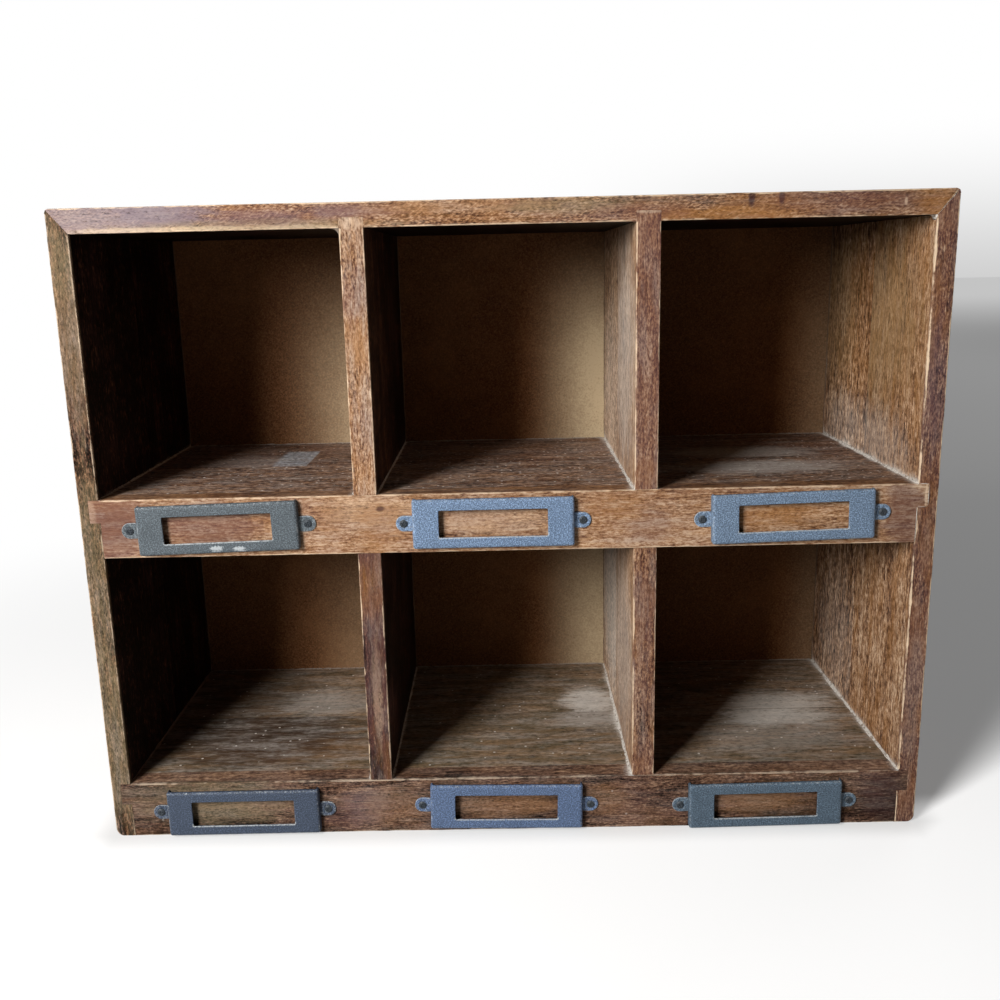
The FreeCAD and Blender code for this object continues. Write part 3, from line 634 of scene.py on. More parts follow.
# Shelves, housed in the sides behind the rails
shelfLook = {
    "middle": {"specks": 0.12, "film": 0.5, "mottle": 1.4, "contrast": 0.6, "streaks": 0.3, "warm": 0.1,
        "saturation": 0.92, "figure": 0.06},
    "bottom": {"purple": (0, 0, 0.1), "film": 0.6, "warm": 0.2, "saturation": 0.92, "mottle": 1,
        "veins": 0.12, "contrast": 0.45, "figure": 0.24, "streaks": 0.25, "bands": 0.2},
    "middle_front": {"seed": 21, "light": (0, -0.08, -0.6), "purple": (0, 0.2, 0.1), "lines": 0.5,
        "patches": [("haze", 132, -25, 176, 44, 18, 4, 1)]},
    "middle_back": {"seed": 22, "light": (0, -0.1, -0.6), "purple": (0, 0.3, 0.1), "lines": 0.25,
        "marks": [("cool", (-128, -109.5, -3, 46), 2, 0.95)], "patches": [
        ("haze", -142, 18, 176, 24, 20, 4, 0.35), ("haze", 132, 15, 176, 42, 20, 4, 0.9)]},
    # painted shade: the large dark patches on the left of the lower left floor darken it where its left wall's
    # shadow lies
    "bottom_front": {"seed": 23, "light": (0, -0.21, -0.6), "specks": 0.05, "lines": 0.25, "patches": [
        ("olive", 0, 0, 28, 500, 300, 9, 0.4), ("gold", -120, -40, 28, 60, 16, 5, 0.35),
        ("haze", 45, -5, 28, 22, 14, 5, 0.8), ("dust", 150, -8, 28, 34, 15, 5, 0.75),
        ("dark", 43.1, -22, 28, 3, 2, 5, 0.9), ("dark", -140, -20, 28, 60, 50, 5, 0.85),
        ("haze", 140, -32, 28, 44, 24, 5, 0.4)]},
    "bottom_back": {"seed": 24, "light": (0, -0.17, -0.6), "specks": 0.04, "lines": 0.2, "patches": [
        ("olive", 0, 0, 28, 500, 300, 9, 0.4), ("dark", -160, 22, 28, 46, 40, 5, 0.5),
        ("haze", -108, 22, 28, 30, 22, 5, 0.5), ("dust", 46, 16, 28, 18, 20, 5, 0.9),
        ("dust", 154, 8, 28, 34, 18, 5, 0.7)]},
}
for level in ("middle", "bottom"):
    for stave in ("front", "back"):
        node = f"{level}_shelf_{stave}_stave"
        low, high = nodeBox(node)
        look = {**shelfLook[level], **shelfLook[f"{level}_{stave}"]}
        makeBoard(f"{level}_shelf_{stave}_board", [(bar(low, high), low[1], high[1])], 0, look,
                  [node], nicks=0, back=thinEdge)


# Upright dividers: the front staves of the lower ones are notched behind the middle rail
dividerLook = {
    "upper_left_front": {"seed": 31, "mottle": 1.2, "fibre": 0.5, "light": (0.12, -0.08, -0.38),
        "film": 0.4, "patches": [
        ("purple", -67, 270, 8, 14, 0.5), ("tan", -67, 246, 8, 10, 0.5), ("purple", -67, 205, 8, 18, 0.35),
        ("pale", -67, 300, 8, 3, 0.5)]},
    "upper_left_back": {"seed": 32, "light": (0, -0.02, -0.5), "purple": (0, 0, 0.1)},
    "upper_right_front": {"seed": 33, "mottle": 1.1, "fibre": 0.45, "light": (-0.05, 0.1, -0.5),
        "purple": (0.95, 0, 0.1), "film": 0.2, "warm": 0.2, "patches": [
        ("dust", 59, -30, 235, 3, 50, 70, 0.45), ("gold", 65, 184, 8, 8, 0.5),
        ("cream", 65.5, 302, 7, 0.9, 0.7)]},
    "upper_right_back": {"seed": 34, "light": (0, 0.12, -0.55), "purple": (0, -0.3, 0.1), "film": 0.25,
        "fibre": 2, "mottle": 2.2, "contrast": 1.4, "patches": [("dust", 59, 40, 215, 3, 60, 50, 0.25)]},
    "lower_left_front": {"seed": 35, "mottle": 1.3, "contrast": 0.6, "light": (-0.46, -0.08, -0.5),
        "purple": (0.65, 0.1, 0.1), "film": 0.2, "patches": [
        ("gold", -66, 128, 8, 16, 0.4), ("pale", -66, 75, 2.5, 30, 0.45), ("plum", -64, 95, 6, 22, 0.35)]},
    "lower_left_back": {"seed": 36, "light": (0, -0.08, -0.5), "purple": (0, 0, 0.1)},
    "lower_right_front": {"seed": 37, "mottle": 1.2, "fibre": 0.6, "light": (-0.08, 0.08, -0.5),
        "purple": (0.5, 0.1, 0.1), "film": 0.25, "patches": [
        ("purple", 65, 120, 8, 20, 0.4), ("dust", 59, -30, 80, 3, 50, 60, 0.35)]},
    "lower_right_back": {"seed": 38, "light": (0, 0.16, -0.5), "purple": (0, -0.3, 0.1), "film": 0.4,
        "fibre": 2, "mottle": 2.2, "contrast": 1.5, "patches": [("dust", 59, 30, 85, 3, 60, 60, 0.55)]},
}
for name, (low, high) in dividers.items():
    if name.startswith("upper"):
        corners = [(low[0], low[2], snugEdge), (high[0], low[2], wornEdge), (high[0], ceilingZ, snugEdge),
                   (high[0], high[2], snugEdge), (low[0], high[2], snugEdge), (low[0], ceilingZ, wornEdge)]
        shells = [(corners, frontY, seamY)]
    else:
        below = np.array([high[0], high[1], railFoot])
        edges = (snugEdge, wornEdge, snugEdge, wornEdge)
        shells = [(bar(low, below, edges), frontY, railBackY), (bar(low, high), railBackY, seamY)]
    makeBoard(f"{name}_divider_front_board", shells, 2, dividerLook[f"{name}_front"],
              [f"{name}_divider_front_stave"], nicks=5)
    backLow, backHigh = nodeBox(f"{name}_divider_back_stave")
    shells = [(bar(backLow, backHigh), backLow[1], backHigh[1])]
    makeBoard(f"{name}_divider_back_board", shells, 2, dividerLook[f"{name}_back"],
              [f"{name}_divider_back_stave"], nicks=0, back=thinEdge)


# Rails with a tongue at each end, in the front of the shelves' housings
railLook = {
    "middle": {"seed": 41, "light": (0.12, -0.1, -0.1), "purple": (0.38, 0.1, 0.1), "film": 0.2,
        "warm": 0.35, "mottle": 0.9, "contrast": 0.6, "patches": [
        ("purple", -140, 162, 26, 12, 0.7), ("brown", -140, 162, 24, 10, 0.45),
        ("gold", 125, 162, 28, 8, 0.5), ("pale", -8, 162, 28, 7, 0.35), ("purple", -187, 163, 20, 16, 1),
        ("brown", -187, 163, 20, 14, 0.75), ("pale", -66, 168, 22, 10, 0.35),
        ("gold", -60, 160, 14, 14, 0.5), ("tan", -84, 165, 8, 12, 0.4), ("plum", -60.2, 169, 2.2, 1.4, 0.8),
        ("gold", 50, 168, 16, 6, 0.4), ("purple", 68, 158, 10, 10, 0.35),
        ("pale", 80.3, 160.6, 2.2, 1.3, 0.6), ("purple", 188, 160, 12, 16, 0.6),
        ("dark", 188, 160, 10, 20, 0.38), ("pale", -197.6, 169, 2.4, 9, 0.5),
        ("cream", 197.4, 171, 0.7, 8, 0.8), ("cream", 193, 174.6, 5, 0.7, 0.7)]},
    "bottom": {"seed": 42, "light": (-0.24, -0.1, -0.1), "purple": (0.15, 0.1, 0.1), "film": 0.15,
        "mottle": 1, "fibre": 0.6, "contrast": 0.6, "rubbed": 0.45, "warm": 0.2, "saturation": 0.85,
        "patches": [
        ("olive", -150, 18, 44, 14, 0.45), ("gold", -5, 14, 30, 8, 0.45), ("gold", 125, 14, 26, 8, 0.5),
        ("dark", -186, 14, 16, 16, 0.3), ("lilac", -74, 14, 12, 12, 0.35), ("gold", -60, 14, 20, 12, 0.35),
        ("purple", -86, 10, 12, 10, 0.5), ("gold", 48, 16, 12, 10, 0.35), ("dark", 186, 14, 14, 18, 0.5),
        ("plum", 186, 14, 12, 16, 0.6)]},
}


# Outline of a rail: a bar between the sides, with a tongue above its shoulder that reaches into both housings
def railCorners(low, high, step):
    return [(-innerX, low[2], wornEdge), (innerX, low[2], snugEdge), (innerX, step, snugEdge),
            (high[0], step, snugEdge), (high[0], high[2], snugEdge), (innerX, high[2], wornEdge),
            (-innerX, high[2], snugEdge), (low[0], high[2], snugEdge), (low[0], step, snugEdge),
            (-innerX, step, snugEdge)]


for name, low, high, step in (("middle", midRailLow, midRailHigh, lowerCeiling),
                              ("bottom", lowRailLow, lowRailHigh, lowShelfUnder)):
    makeBoard(f"{name}_rail_board", [(railCorners(low, high, step), low[1], high[1])], 0, railLook[name],
              [f"{name}_rail"], nicks=8, back=thinEdge)


# Old glue, filler and dust in corners and open joints: a bead whose face is a hollow quarter round, at
# corner + r (u (1 - sin a) + v (1 - cos a)), carried along a straight line with a radius r that wanders with
# noise and tapers at both ends. Its "wear" is its brightness.
beadLook = {
    "paste": shade(226, 220, 212), "grime": shade(120, 98, 80), "dull": shade(110, 92, 76), "step": 1.2 * mm,
    "wander": ((0.4, 7 * mm), (0.3, 2 * mm)), "least": 0.12, "most": 2.0, "taper": 2 * mm, "tip": 0.15,
    "grimeSize": 2.2 * mm, "grimeSpan": (0.47, 0.64), "grimeShare": 0.8, "bump": (0.6, 0.2 * mm),
    "front": 1.0 * mm, "rear": 0.2 * mm,
}
cornerBeads = {  # radius and brightness along each corner line of a pigeonhole
    "floorRight": (1.0 * mm, 0.85), "floorLeft": (0.7 * mm, 0.55), "backRight": (0.35 * mm, 0.0),
    "backLeft": (0.4 * mm, 0.0), "floorBack": (0.45 * mm, 0.3),
}


def beadShell(start, u, v, run, radius, seed, bright=1.0):
    u, v, run = np.array(u, float), np.array(v, float), np.array(run, float)
    length = np.linalg.norm(run)
    along = np.linspace(0, length, max(4, int(length / beadLook["step"])))
    wander = 1
    for number, (weight, knot) in enumerate(beadLook["wander"]):
        wander = wander + weight * lineNoise(along, knot, seed + number)
    taper = np.clip(np.minimum(along, length - along) / beadLook["taper"] + beadLook["tip"], 0, 1)
    size = radius * np.clip(wander, beadLook["least"], beadLook["most"]) * taper
    angles = np.radians([0, 25, 45, 65, 90])
    profile = np.array([[0.0, 0.0]] + [[1 - np.sin(a), 1 - np.cos(a)] for a in angles])
    offsets = profile[:, :1] * u + profile[:, 1:] * v
    points = np.array(start) + size[:, None, None] * offsets[None] + (along / length)[:, None, None] * run
    area = profile[:, 0] @ np.roll(profile[:, 1], -1) - profile[:, 1] @ np.roll(profile[:, 0], -1)
    if area * (np.cross(u, v) @ run) > 0:
        points = points[:, ::-1]
    return points, np.full(points.shape[:2], bright)


# Pale paste with specks of grime, darker where the bead is less bright
def beadMaterial():
    material, flow = newMaterial("corner_filler")
    grime = flow.place().noise(1 / beadLook["grimeSize"], (3, 1, 4), 4, 0.75)
    colour = flow.paint(beadLook["paste"])
    colour = colour.blend(grime.rise(*beadLook["grimeSpan"]) * beadLook["grimeShare"], beadLook["grime"])
    colour = colour.blend(1 - flow.carried("wear"), beadLook["dull"])
    showSurface(flow, colour, 0.8, grime, beadLook["bump"], 0.1)
    return material


left, right, down, fore, aloft = (-1, 0, 0), (1, 0, 0), (0, 0, -1), (0, -1, 0), (0, 0, 1)
beads = []
for number, (wallLeft, wallRight, floor) in enumerate(cubbies):
    start = frontY + beadLook["front"]
    deep = (0, seatY - start - beadLook["rear"], 0)
    tall = (0, 0, (ceilingZ if number < 3 else lowerCeiling) - floor)
    lines = {  # start, the ways to both faces, and the run
        "floorRight": ((wallRight, start, floor), left, aloft, deep),
        "floorLeft": ((wallLeft, start, floor), right, aloft, deep),
        "backRight": ((wallRight, seatY, floor), left, fore, tall),
        "backLeft": ((wallLeft, seatY, floor), right, fore, tall),
        "floorBack": ((wallLeft, seatY, floor), fore, aloft, (wallRight - wallLeft, 0, 0)),
    }
    for order, (key, line) in enumerate(lines.items()):
        radius, bright = cornerBeads[key]
        bright = bright * (shadedCornerShare if (number, key) == (shadedCubby, "floorLeft") else 1)
        beads.append(beadShell(*line, radius, 70 + 10 * order + number, bright))
filledCorners = ((cubbies[0][1], 9 * mm, 4.2 * mm, 0.15), (innerX, 7 * mm, 2.6 * mm, 1.0))
for seed, (x, reach, radius, bright) in enumerate(filledCorners, 120):  # under the top board, at the front
    corner = (x, frontY + 0.1 * mm, ceilingZ)
    beads.append(beadShell(corner, left, down, (0, reach, 0), radius, seed, bright))
flushY, mitreShort, jointBead = frontY + 0.25 * mm, 0.8 * mm, 0.55 * mm
filledJoints = (  # the joints on the right that are filled flush with the front
    ((innerX, ceilingZ), (outerX - mitreShort, topZ - mitreShort), down),
    ((innerX, upperFloor), (housedX, upperFloor), aloft),
    ((housedX, upperFloor), (housedX, lowerCeiling), right),
    ((housedX, lowerCeiling), (innerX, lowerCeiling), down),
    ((innerX, lowerCeiling), (innerX, railFoot), right),
)
for seed, ((x0, z0), (x1, z1), side) in enumerate(filledJoints, 130):
    beads.append(beadShell((x0, flushY, z0), side, fore, (x1 - x0, 0, z1 - z0), jointBead, seed))


# Back panel: hardboard with a fine speckle inside and a pressed screen pattern outside, sin(x) sin(z). At the
# right of each pigeonhole a pale patch, fading to the left and upwards, is painted light where the key falls.
panelLook = {
    "inside": shade(108, 70, 42), "fleck": shade(64, 38, 22), "speckle": shade(146, 104, 68),
    "film": shade(194, 174, 142), "outside": shade(172, 128, 86), "screen": 1.6 * mm, "edge": 0.3 * mm,
    "step": 4 * mm, "outsideFrom": (1 * mm, 2.5 * mm), "lightPoolFade": (40 * mm, 135 * mm),
    "lightPoolTop": (124 * mm, 126 * mm), "wallEdge": 1 * mm, "floorEdge": 2 * mm, "bump": (0.6, 0.3 * mm),
    # for each pigeonhole, mm from its right wall at which the painted light begins and is full, and its
    # strength there
    "lightPools": ((70, 12, 0.75), (50, 4, 1.3), (30, 2, 0.27), (64, 14, 0.30), (46, 4, 1.1), (24, 2, 0.25)),
}


# Brown with speckles and flecks, then the outside's colour, the painted light and the dust blended over it
def panelMaterial():
    material, flow = newMaterial("hardboard")
    place = flow.place()
    spread, depth, level = place.split()
    fine = place.noise(1 / (0.8 * mm), (1, 1, 1), 3, 0.75)
    cloud = place.noise(1 / (30 * mm), (4, 2, 1), 3, 0.6)
    speckle = place.noise(1 / (1.1 * mm), (2, 6, 1), 3, 0.75)
    colour = flow.paint(panelLook["inside"])
    colour = colour.blend(speckle.rise(0.42, 0.66) * 0.6, panelLook["speckle"])
    colour = colour.blend(fine.rise(0.42, 0.66) * 0.75, panelLook["fleck"])
    colour = colour.blend(cloud.rise(0.45, 0.75) * 0.3, panelLook["speckle"])
    outside = depth.rise(*[seatY + d for d in panelLook["outsideFrom"]])
    colour = colour.blend(outside * (0.35 + cloud * 0.7), panelLook["outside"])
    # painted light: the pale film colour lies where the key lights each pigeonhole's back, fading into shade
    # to the left and above
    for (_, wall, floor), (begin, full, strength) in zip(cubbies, panelLook["lightPools"]):
        film = spread.rise(wall - begin * mm, wall - full * mm)
        film = film * (1 - spread.rise(wall, wall + panelLook["wallEdge"]))
        film = film * level.rise(floor - panelLook["floorEdge"], floor)
        for fade in ("lightPoolFade", "lightPoolTop"):
            film = film * (1 - level.rise(*[floor + up for up in panelLook[fade]]))
        film = film * (cloud * 0.5 + speckle * 1.1 - 0.05).math("MAXIMUM", 0.0).math("MINIMUM", 1.0)
        colour = colour.blend(film * (1 - outside) * strength, panelLook["film"])
    dust = (flow.carried("dust") + fine * 0.5 - 0.3).rise(0.1, 0.9)
    colour = colour.blend(dust * 0.6, stain["dust"])
    across, up = [way * (2 * pi / panelLook["screen"]) for way in (spread, level)]
    screen = across.math("SINE") * up.math("SINE") * outside
    showSurface(flow, colour, 0.62 + fine * 0.2, fine * 0.4 + screen * 0.5, panelLook["bump"], 0.1)
    return material


sheet = bar(panelLow, panelHigh, (panelLook["edge"],) * 4)
part, worn = boardShell(sheet, panelLow[1], panelHigh[1], 60, step=panelLook["step"])
makePiece("back_sheet", part, ringFaces(*part.shape[:2]), {"wear": worn, "dust": dustAt(part)},
          panelMaterial(), ["back_panel"])
print("back sheet made")


# Label holders: one pressed frame, folded back on three sides, its top open for a card, an ear at each end
holderLook = {
    "width": 76.6 * mm, "height": 24.0 * mm, "rise": 4.0 * mm, "sheet": 0.8 * mm, "bend": 1.6 * mm,
    "windowWidth": 51.5 * mm, "windowHeight": 13.1 * mm, "lip": 0.35 * mm, "windowCorner": 0.6 * mm,
    "corner": 1.3 * mm, "leastCorner": 0.15 * mm, "topReach": 0.25 * mm,
    "topBand": 1.05 * mm, "topEnds": 1.0 * mm,
    "faceSteps": ((0.3 * mm, 0.5), (0.8 * mm, 0.0), (2.0 * mm, 0.0)), "bendSteps": (1.3 * mm, 0.4 * mm),
    "foldFront": 1.2 * mm, "foldEdge": 0.12 * mm, "foldInner": 0.45 * mm,
    "earRadius": 3.8 * mm, "earReach": 4.2 * mm, "earOverlap": 0.3 * mm, "earEdge": 0.22 * mm,
    "hole": 1.25 * mm, "scuff": shade(190, 196, 200), "scuffSpan": (0.2, 1.5), "scuffMost": 0.9,
    "bump": (0.8, 0.3 * mm),
}
holders = {  # tilt in degrees and paint, each colour partly the holder's own paint and partly painted light and sheen that it catches
    "upper_left": (1.3, shade(81, 89, 95)), "upper_middle": (0.1, shade(108, 129, 157)),
    "upper_right": (1.3, shade(107, 126, 149)), "lower_left": (0.2, shade(63, 73, 90)),
    "lower_middle": (-0.8, shade(89, 107, 138)), "lower_right": (0.7, shade(82, 98, 113)),
}
holderScuffs = [(-138.0, 152.4, 4.2, 1.7), (-127.2, 152.2, 4.0, 1.3)]  # rubbed spots: x, z, half sizes


# Points of a rounded rectangle about the middle, the same count on every one: a quarter arc about the centre
# of each corner, c + r (cos a, sin a), and even steps to the start of the next one
def rectangleLoop(halfWidth, halfHeight, corner, perEdge=(60, 24), perCorner=6):
    corner = max(min(corner, halfWidth, halfHeight), 1e-6)
    turns = np.linspace(0, pi / 2, perCorner + 1)
    centres = [np.array([x * (halfWidth - corner), z * (halfHeight - corner)])
               for x, z in ((1, 1), (-1, 1), (-1, -1), (1, -1))]
    loop = []
    for quarter, centre in enumerate(centres):
        angle = quarter * pi / 2 + turns
        arc = centre + corner * np.stack([np.cos(angle), np.sin(angle)], axis=-1)
        nextStart = centres[(quarter + 1) % 4] + corner * np.array([np.cos(angle[-1]), np.sin(angle[-1])])
        shares = np.linspace(0, 1, perEdge[quarter % 2] + 1)[1:-1, None]
        loop += [arc, arc[-1] + shares * (nextStart - arc[-1])]
    return np.vstack(loop)


# The frame: a closed profile carried round it. Each row is (kind, offset from the window or inset from the
# outside, depth, wear), with quarter rounds r (1 - cos a), r (1 - sin a) at the lip and the bend. Along the
# open top the folded rows stay behind the sheet.
def frameShell():
    h = holderLook
    w2, h2 = h["width"] / 2, h["height"] / 2
    a2, b2 = h["windowWidth"] / 2, h["windowHeight"] / 2
    front, inner = -h["rise"], -h["rise"] + h["sheet"]
    bend, thick, lip, fold, within = h["bend"], h["sheet"], h["lip"], h["foldEdge"], h["foldInner"]
    turns = np.radians(np.linspace(0, 90, 6))
    rows = [("window", 0.0, inner, 0.5), ("window", 0.0, front + lip, 1.0)]
    rows += [("window", lip * (1 - np.cos(a)), front + lip * (1 - np.sin(a)), 1.0) for a in turns[1:]]
    rows += [("window", lip + step, front, worn) for step, worn in h["faceSteps"]]
    rows += [("outer", bend + step, front, 0.0) for step in h["bendSteps"]]
    rows += [("outer", bend * (1 - np.sin(a)), front + bend * (1 - np.cos(a)), 0.7 * np.sin(2 * a))
             for a in turns]
    rows += [("fold", 0.0, -h["foldFront"], 0.0), ("fold", 0.0, -fold, 0.5), ("fold", fold, 0.0, 0.5)]
    rows += [("fold", thick, 0.0, 0.4), ("fold", thick, inner + within, 0.0)]
    rows.append(("fold", thick + within, inner, 0.0))
    loops, wears = [], []
    for kind, move, depth, worn in rows:
        if kind == "window":
            loop = rectangleLoop(a2 + move, b2 + move, h["windowCorner"] + move)
        else:
            loop = rectangleLoop(w2 - move, h2 - move, max(h["corner"] - move, h["leastCorner"]))
        y = np.full(len(loop), depth)
        if kind == "fold":  # the open top: the fold keeps to the back of the sheet
            atTop = (loop[:, 1] > h2 - h["topBand"]) & (np.abs(loop[:, 0]) < w2 - h["topEnds"])
            y = np.where(atTop, inner, y)
            lowered = loop * [1, (h2 - h["topReach"]) / h2]
            loop = np.where(atTop[:, None] & (move < h["foldEdge"] * 2), lowered, loop)
        loops.append(np.stack([loop[:, 0], y, loop[:, 1]], axis=-1))
        # painted highlight: the window's lip is worn pale all along its bottom, which catches the light, about
        # half as much on its right and hardly at its left and top
        lipHighlight = np.where(loop[:, 1] < -b2 * 0.8, 1.0, np.where(loop[:, 0] > a2 * 0.8, 0.55, 0.1))
        wears.append(worn * lipHighlight if kind == "window" else np.full(len(loop), worn))
    return np.array(loops), np.array(wears)


# One ear: a plate between its screw hole, a circle, and a rounded tongue that reaches into the frame, where
# the circle is squared by small powers of its cosine and sine
def earShell(sign, around=48):
    h = holderLook
    angle = np.arange(around) * 2 * pi / around
    centre = sign * (h["width"] / 2 + h["earReach"])
    circle = np.stack([np.cos(angle), np.sin(angle)], axis=-1)
    reach, tall = h["earReach"] + h["earOverlap"], h["earRadius"]
    tongue = circle * tall
    towards = -sign * circle[:, 0] > 0
    squareX = -sign * np.minimum(reach, reach * np.abs(circle[:, 0]) ** 0.35)
    squareZ = tall * np.sign(circle[:, 1]) * np.abs(circle[:, 1]) ** 0.18
    tongue[:, 0] = np.where(towards, squareX, tongue[:, 0])
    tongue[:, 1] = np.where(towards, squareZ, tongue[:, 1])
    edge, hole, face = h["earEdge"], h["hole"], -h["sheet"]
    rows = [(circle * hole, 0.0, 0.2), (circle * hole, face + edge, 0.4), (circle * (hole + edge), face, 0.6)]
    rows += [(tongue * 0.86, face, 0.6), (tongue * 0.94, face, 0.7), (tongue * 0.98, face + 0.07 * mm, 1.0)]
    rows += [(tongue, face + edge, 1.0), (tongue, 0.0, 0.3)]
    loops = [np.stack([centre + loop[:, 0], np.full(around, depth), loop[:, 1]], axis=-1)
             for loop, depth, _ in rows]
    return np.array(loops), np.array([np.full(around, worn) for _, _, worn in rows])


# Hammered paint: its own colour, darker or lighter where two fine noises and a cloud rise, the lighter specks
# painting the glints of its hammered face, and chipped where noise meets wear or a rubbed spot
def paintMaterial(name, paint, seed):
    material, flow = newMaterial(name)
    place = flow.place()
    peel = place.noise(1 / (0.75 * mm), (seed, 1, 2), 2, 0.7)
    grain = place.noise(1 / (0.6 * mm), (seed, 3, 2), 2, 0.6)
    cloud = place.noise(1 / (9 * mm), (seed, 5, 1), 4, 0.65)
    colour = flow.paint(paint)
    colour = colour.blend(peel.rise(0.42, 0.58) * 0.7, [0.4 * c for c in paint])
    # painted glints: light specks where the fine noise rises on the hammered paint
    colour = colour.blend(grain.rise(0.50, 0.62) * 0.6, [min(1, 2.4 * c) for c in paint])
    colour = colour.blend(cloud.rise(0.45, 0.70) * 0.25, [0.5 * c for c in paint])
    chips = flow.carried("wear") * 0.75 + place.noise(1 / (1.1 * mm), (seed, 2, 8), 4, 0.75) * 1.6 - 0.9
    for x, z, wide, tall in holderScuffs:
        spot = place.moved((-x / wide, 0, -z / tall), (1 / (wide * mm), 0, 1 / (tall * mm))).length()
        chips = chips + (1 - spot.rise(*holderLook["scuffSpan"])) * holderLook["scuffMost"]
    colour = colour.blend(chips.rise(0.35, 0.75) * 0.75, holderLook["scuff"])
    showSurface(flow, colour, 0.42 + cloud * 0.2, peel * 0.9 + grain * 0.4, holderLook["bump"], 0.25)
    return material


# Turned by its tilt and moved to its place: x' = x cos t - z sin t, z' = x sin t + z cos t
def placeHolder(points, tilt, middle):
    turn = radians(tilt)
    x, y, z = points.T
    return np.stack([middle[0] + x * np.cos(turn) - z * np.sin(turn), frontY + y,
                     middle[1] + x * np.sin(turn) + z * np.cos(turn)], axis=-1)


# A screw head: a low dome h(1 - (r/R)^2.4) with a cross recess pressed into it, and its shank
screwLook = {
    "head": 1.9 * mm, "height": 1.05 * mm, "rim": 0.35 * mm, "recess": 0.85 * mm, "arm": 0.24 * mm,
    "armSlope": 0.12 * mm, "endSlope": 0.25 * mm, "recessDepth": 0.55 * mm, "dome": 2.4, "shank": 1.0 * mm,
    "tip": 0.2 * mm, "length": 9 * mm, "metal": shade(50, 56, 62), "worn": shade(168, 174, 176),
}


def screwShell(spin, around=56):
    s = screwLook
    angle = np.arange(around) * 2 * pi / around
    radii = np.concatenate([np.linspace(0.02, 0.9, 12), [0.95, 0.985, 1.0]]) * s["head"]
    r, a = np.meshgrid(radii, angle, indexing="ij")
    dome = s["rim"] + (s["height"] - s["rim"]) * (1 - (r / s["head"]) ** s["dome"])
    u, v = np.abs(r * np.cos(a - spin)), np.abs(r * np.sin(a - spin))
    cut = np.clip(1 - (np.minimum(u, v) - s["arm"]) / s["armSlope"], 0, 1)
    cut = cut * np.clip((s["recess"] - np.maximum(u, v)) / s["endSlope"] + 1, 0, 1)
    top = np.stack([r * np.cos(a), s["recessDepth"] * cut - dome, r * np.sin(a)], axis=-1)
    rest = [(s["head"], 0.0), (s["shank"], 0.0), (s["shank"], s["length"] * 0.85), (s["tip"], s["length"])]
    below = [np.stack([q * np.cos(angle), np.full(around, d), q * np.sin(angle)], axis=-1) for q, d in rest]
    worn = np.concatenate([np.clip((r / s["head"] - 0.75) * 3, 0, 1) * (1 - cut), np.zeros((4, around))])
    return np.concatenate([top, np.array(below)]), worn


# Metal in two colours: the second shows where wear and a cloud of noise come together
def metalMaterial(name, metal, wornMetal, roughness, metallic):
    material, flow = newMaterial(name)
    cloud = flow.place().noise(1 / (1.1 * mm), (2, 5, 1), 4, 0.65)
    colour = flow.paint(metal)
    colour = colour.blend(cloud.rise(0.5, 0.75) * 0.4, [c * 0.5 for c in metal])
    colour = colour.blend((flow.carried("wear") + cloud - 0.6).rise(0.35, 0.9) * 0.6, wornMetal)
    showSurface(flow, colour, roughness + cloud * 0.25, cloud, (0.4, 0.1 * mm), 0.25, metallic)
    return material


screwMetal = metalMaterial("screw_metal", screwLook["metal"], screwLook["worn"], 0.4, 0.2)
holderShells = [(*frameShell(), "loop"), (*earShell(-1), "loop"), (*earShell(1), "loop")]
holderPoints, holderWear, holderFaces = joinShells(holderShells)
for number, (name, (tilt, colour)) in enumerate(holders.items()):
    low, high = nodeBox(f"{name}_label_holder")
    middle = ((low + high) / 2)[[0, 2]]
    paint = paintMaterial(f"{name}_holder_paint", colour, number * 3.7)
    makePiece(f"{name}_holder", placeHolder(holderPoints, tilt, middle), holderFaces, {"wear": holderWear},
              paint, [f"{name}_label_holder"])
    screws = []
    for side, spin in ((-1, 0.3 + number), (1, 1.1 + 2 * number)):
        part, shine = screwShell(spin)
        part = part + [side * (holderLook["width"] / 2 + holderLook["earReach"]), -holderLook["sheet"], 0]
        screws.append((part, shine, "caps"))
    points, worn, faces = joinShells(screws)
    makePiece(f"{name}_screws", placeHolder(points, tilt, middle), faces, {"wear": worn}, screwMetal,
              [f"{name}_label_screws"])
print("label holders and screws made")
points, strength, faces = joinShells([(part, value, "caps") for part, value in beads])
makePiece("corner_filler", points, faces, {"wear": strength}, beadMaterial())
print(f"{len(beads)} beads of filler made")


# Panel nails: a flat round head with a hammered dimple, and a shank, one at the middle of each CAD nail. Each
# row is a circle of radius q at depth d; the CAD nails are told apart by the grid cell that a head lies in.
nailLook = {
    "head": 1.5 * mm, "shank": 0.65 * mm, "tip": 0.08 * mm, "length": 14 * mm, "cell": 6 * mm,
    "apart": 4 * mm,
    "profile": ((0.12, -0.42), (0.5, -0.40), (0.8, -0.46), (0.96, -0.40), (1.0, -0.2), (0.98, 0.0)),
    "shine": (1, 0.6, 0.2, 1, 0.6, 0, 0, 0, 0), "steel": shade(150, 146, 140), "rust": shade(120, 84, 62),
}
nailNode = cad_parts["back_panel_nails"]
spots = np.zeros(len(nailNode.data.vertices) * 3)
nailNode.data.vertices.foreach_get("co", spots)
spots = spots.reshape(-1, 3)
heads = spots[spots[:, 1] > panelHigh[1] + 0.4 * mm][:, [0, 2]]
nailCentres = []
for key in np.unique(np.round(heads / nailLook["cell"]), axis=0):
    nearby = np.hypot(*(heads - key * nailLook["cell"]).T) < nailLook["cell"]
    spot = heads[nearby].mean(0)
    if all(np.hypot(*(spot - other)) > nailLook["apart"] for other in nailCentres):
        nailCentres.append(spot)
nailShells = []
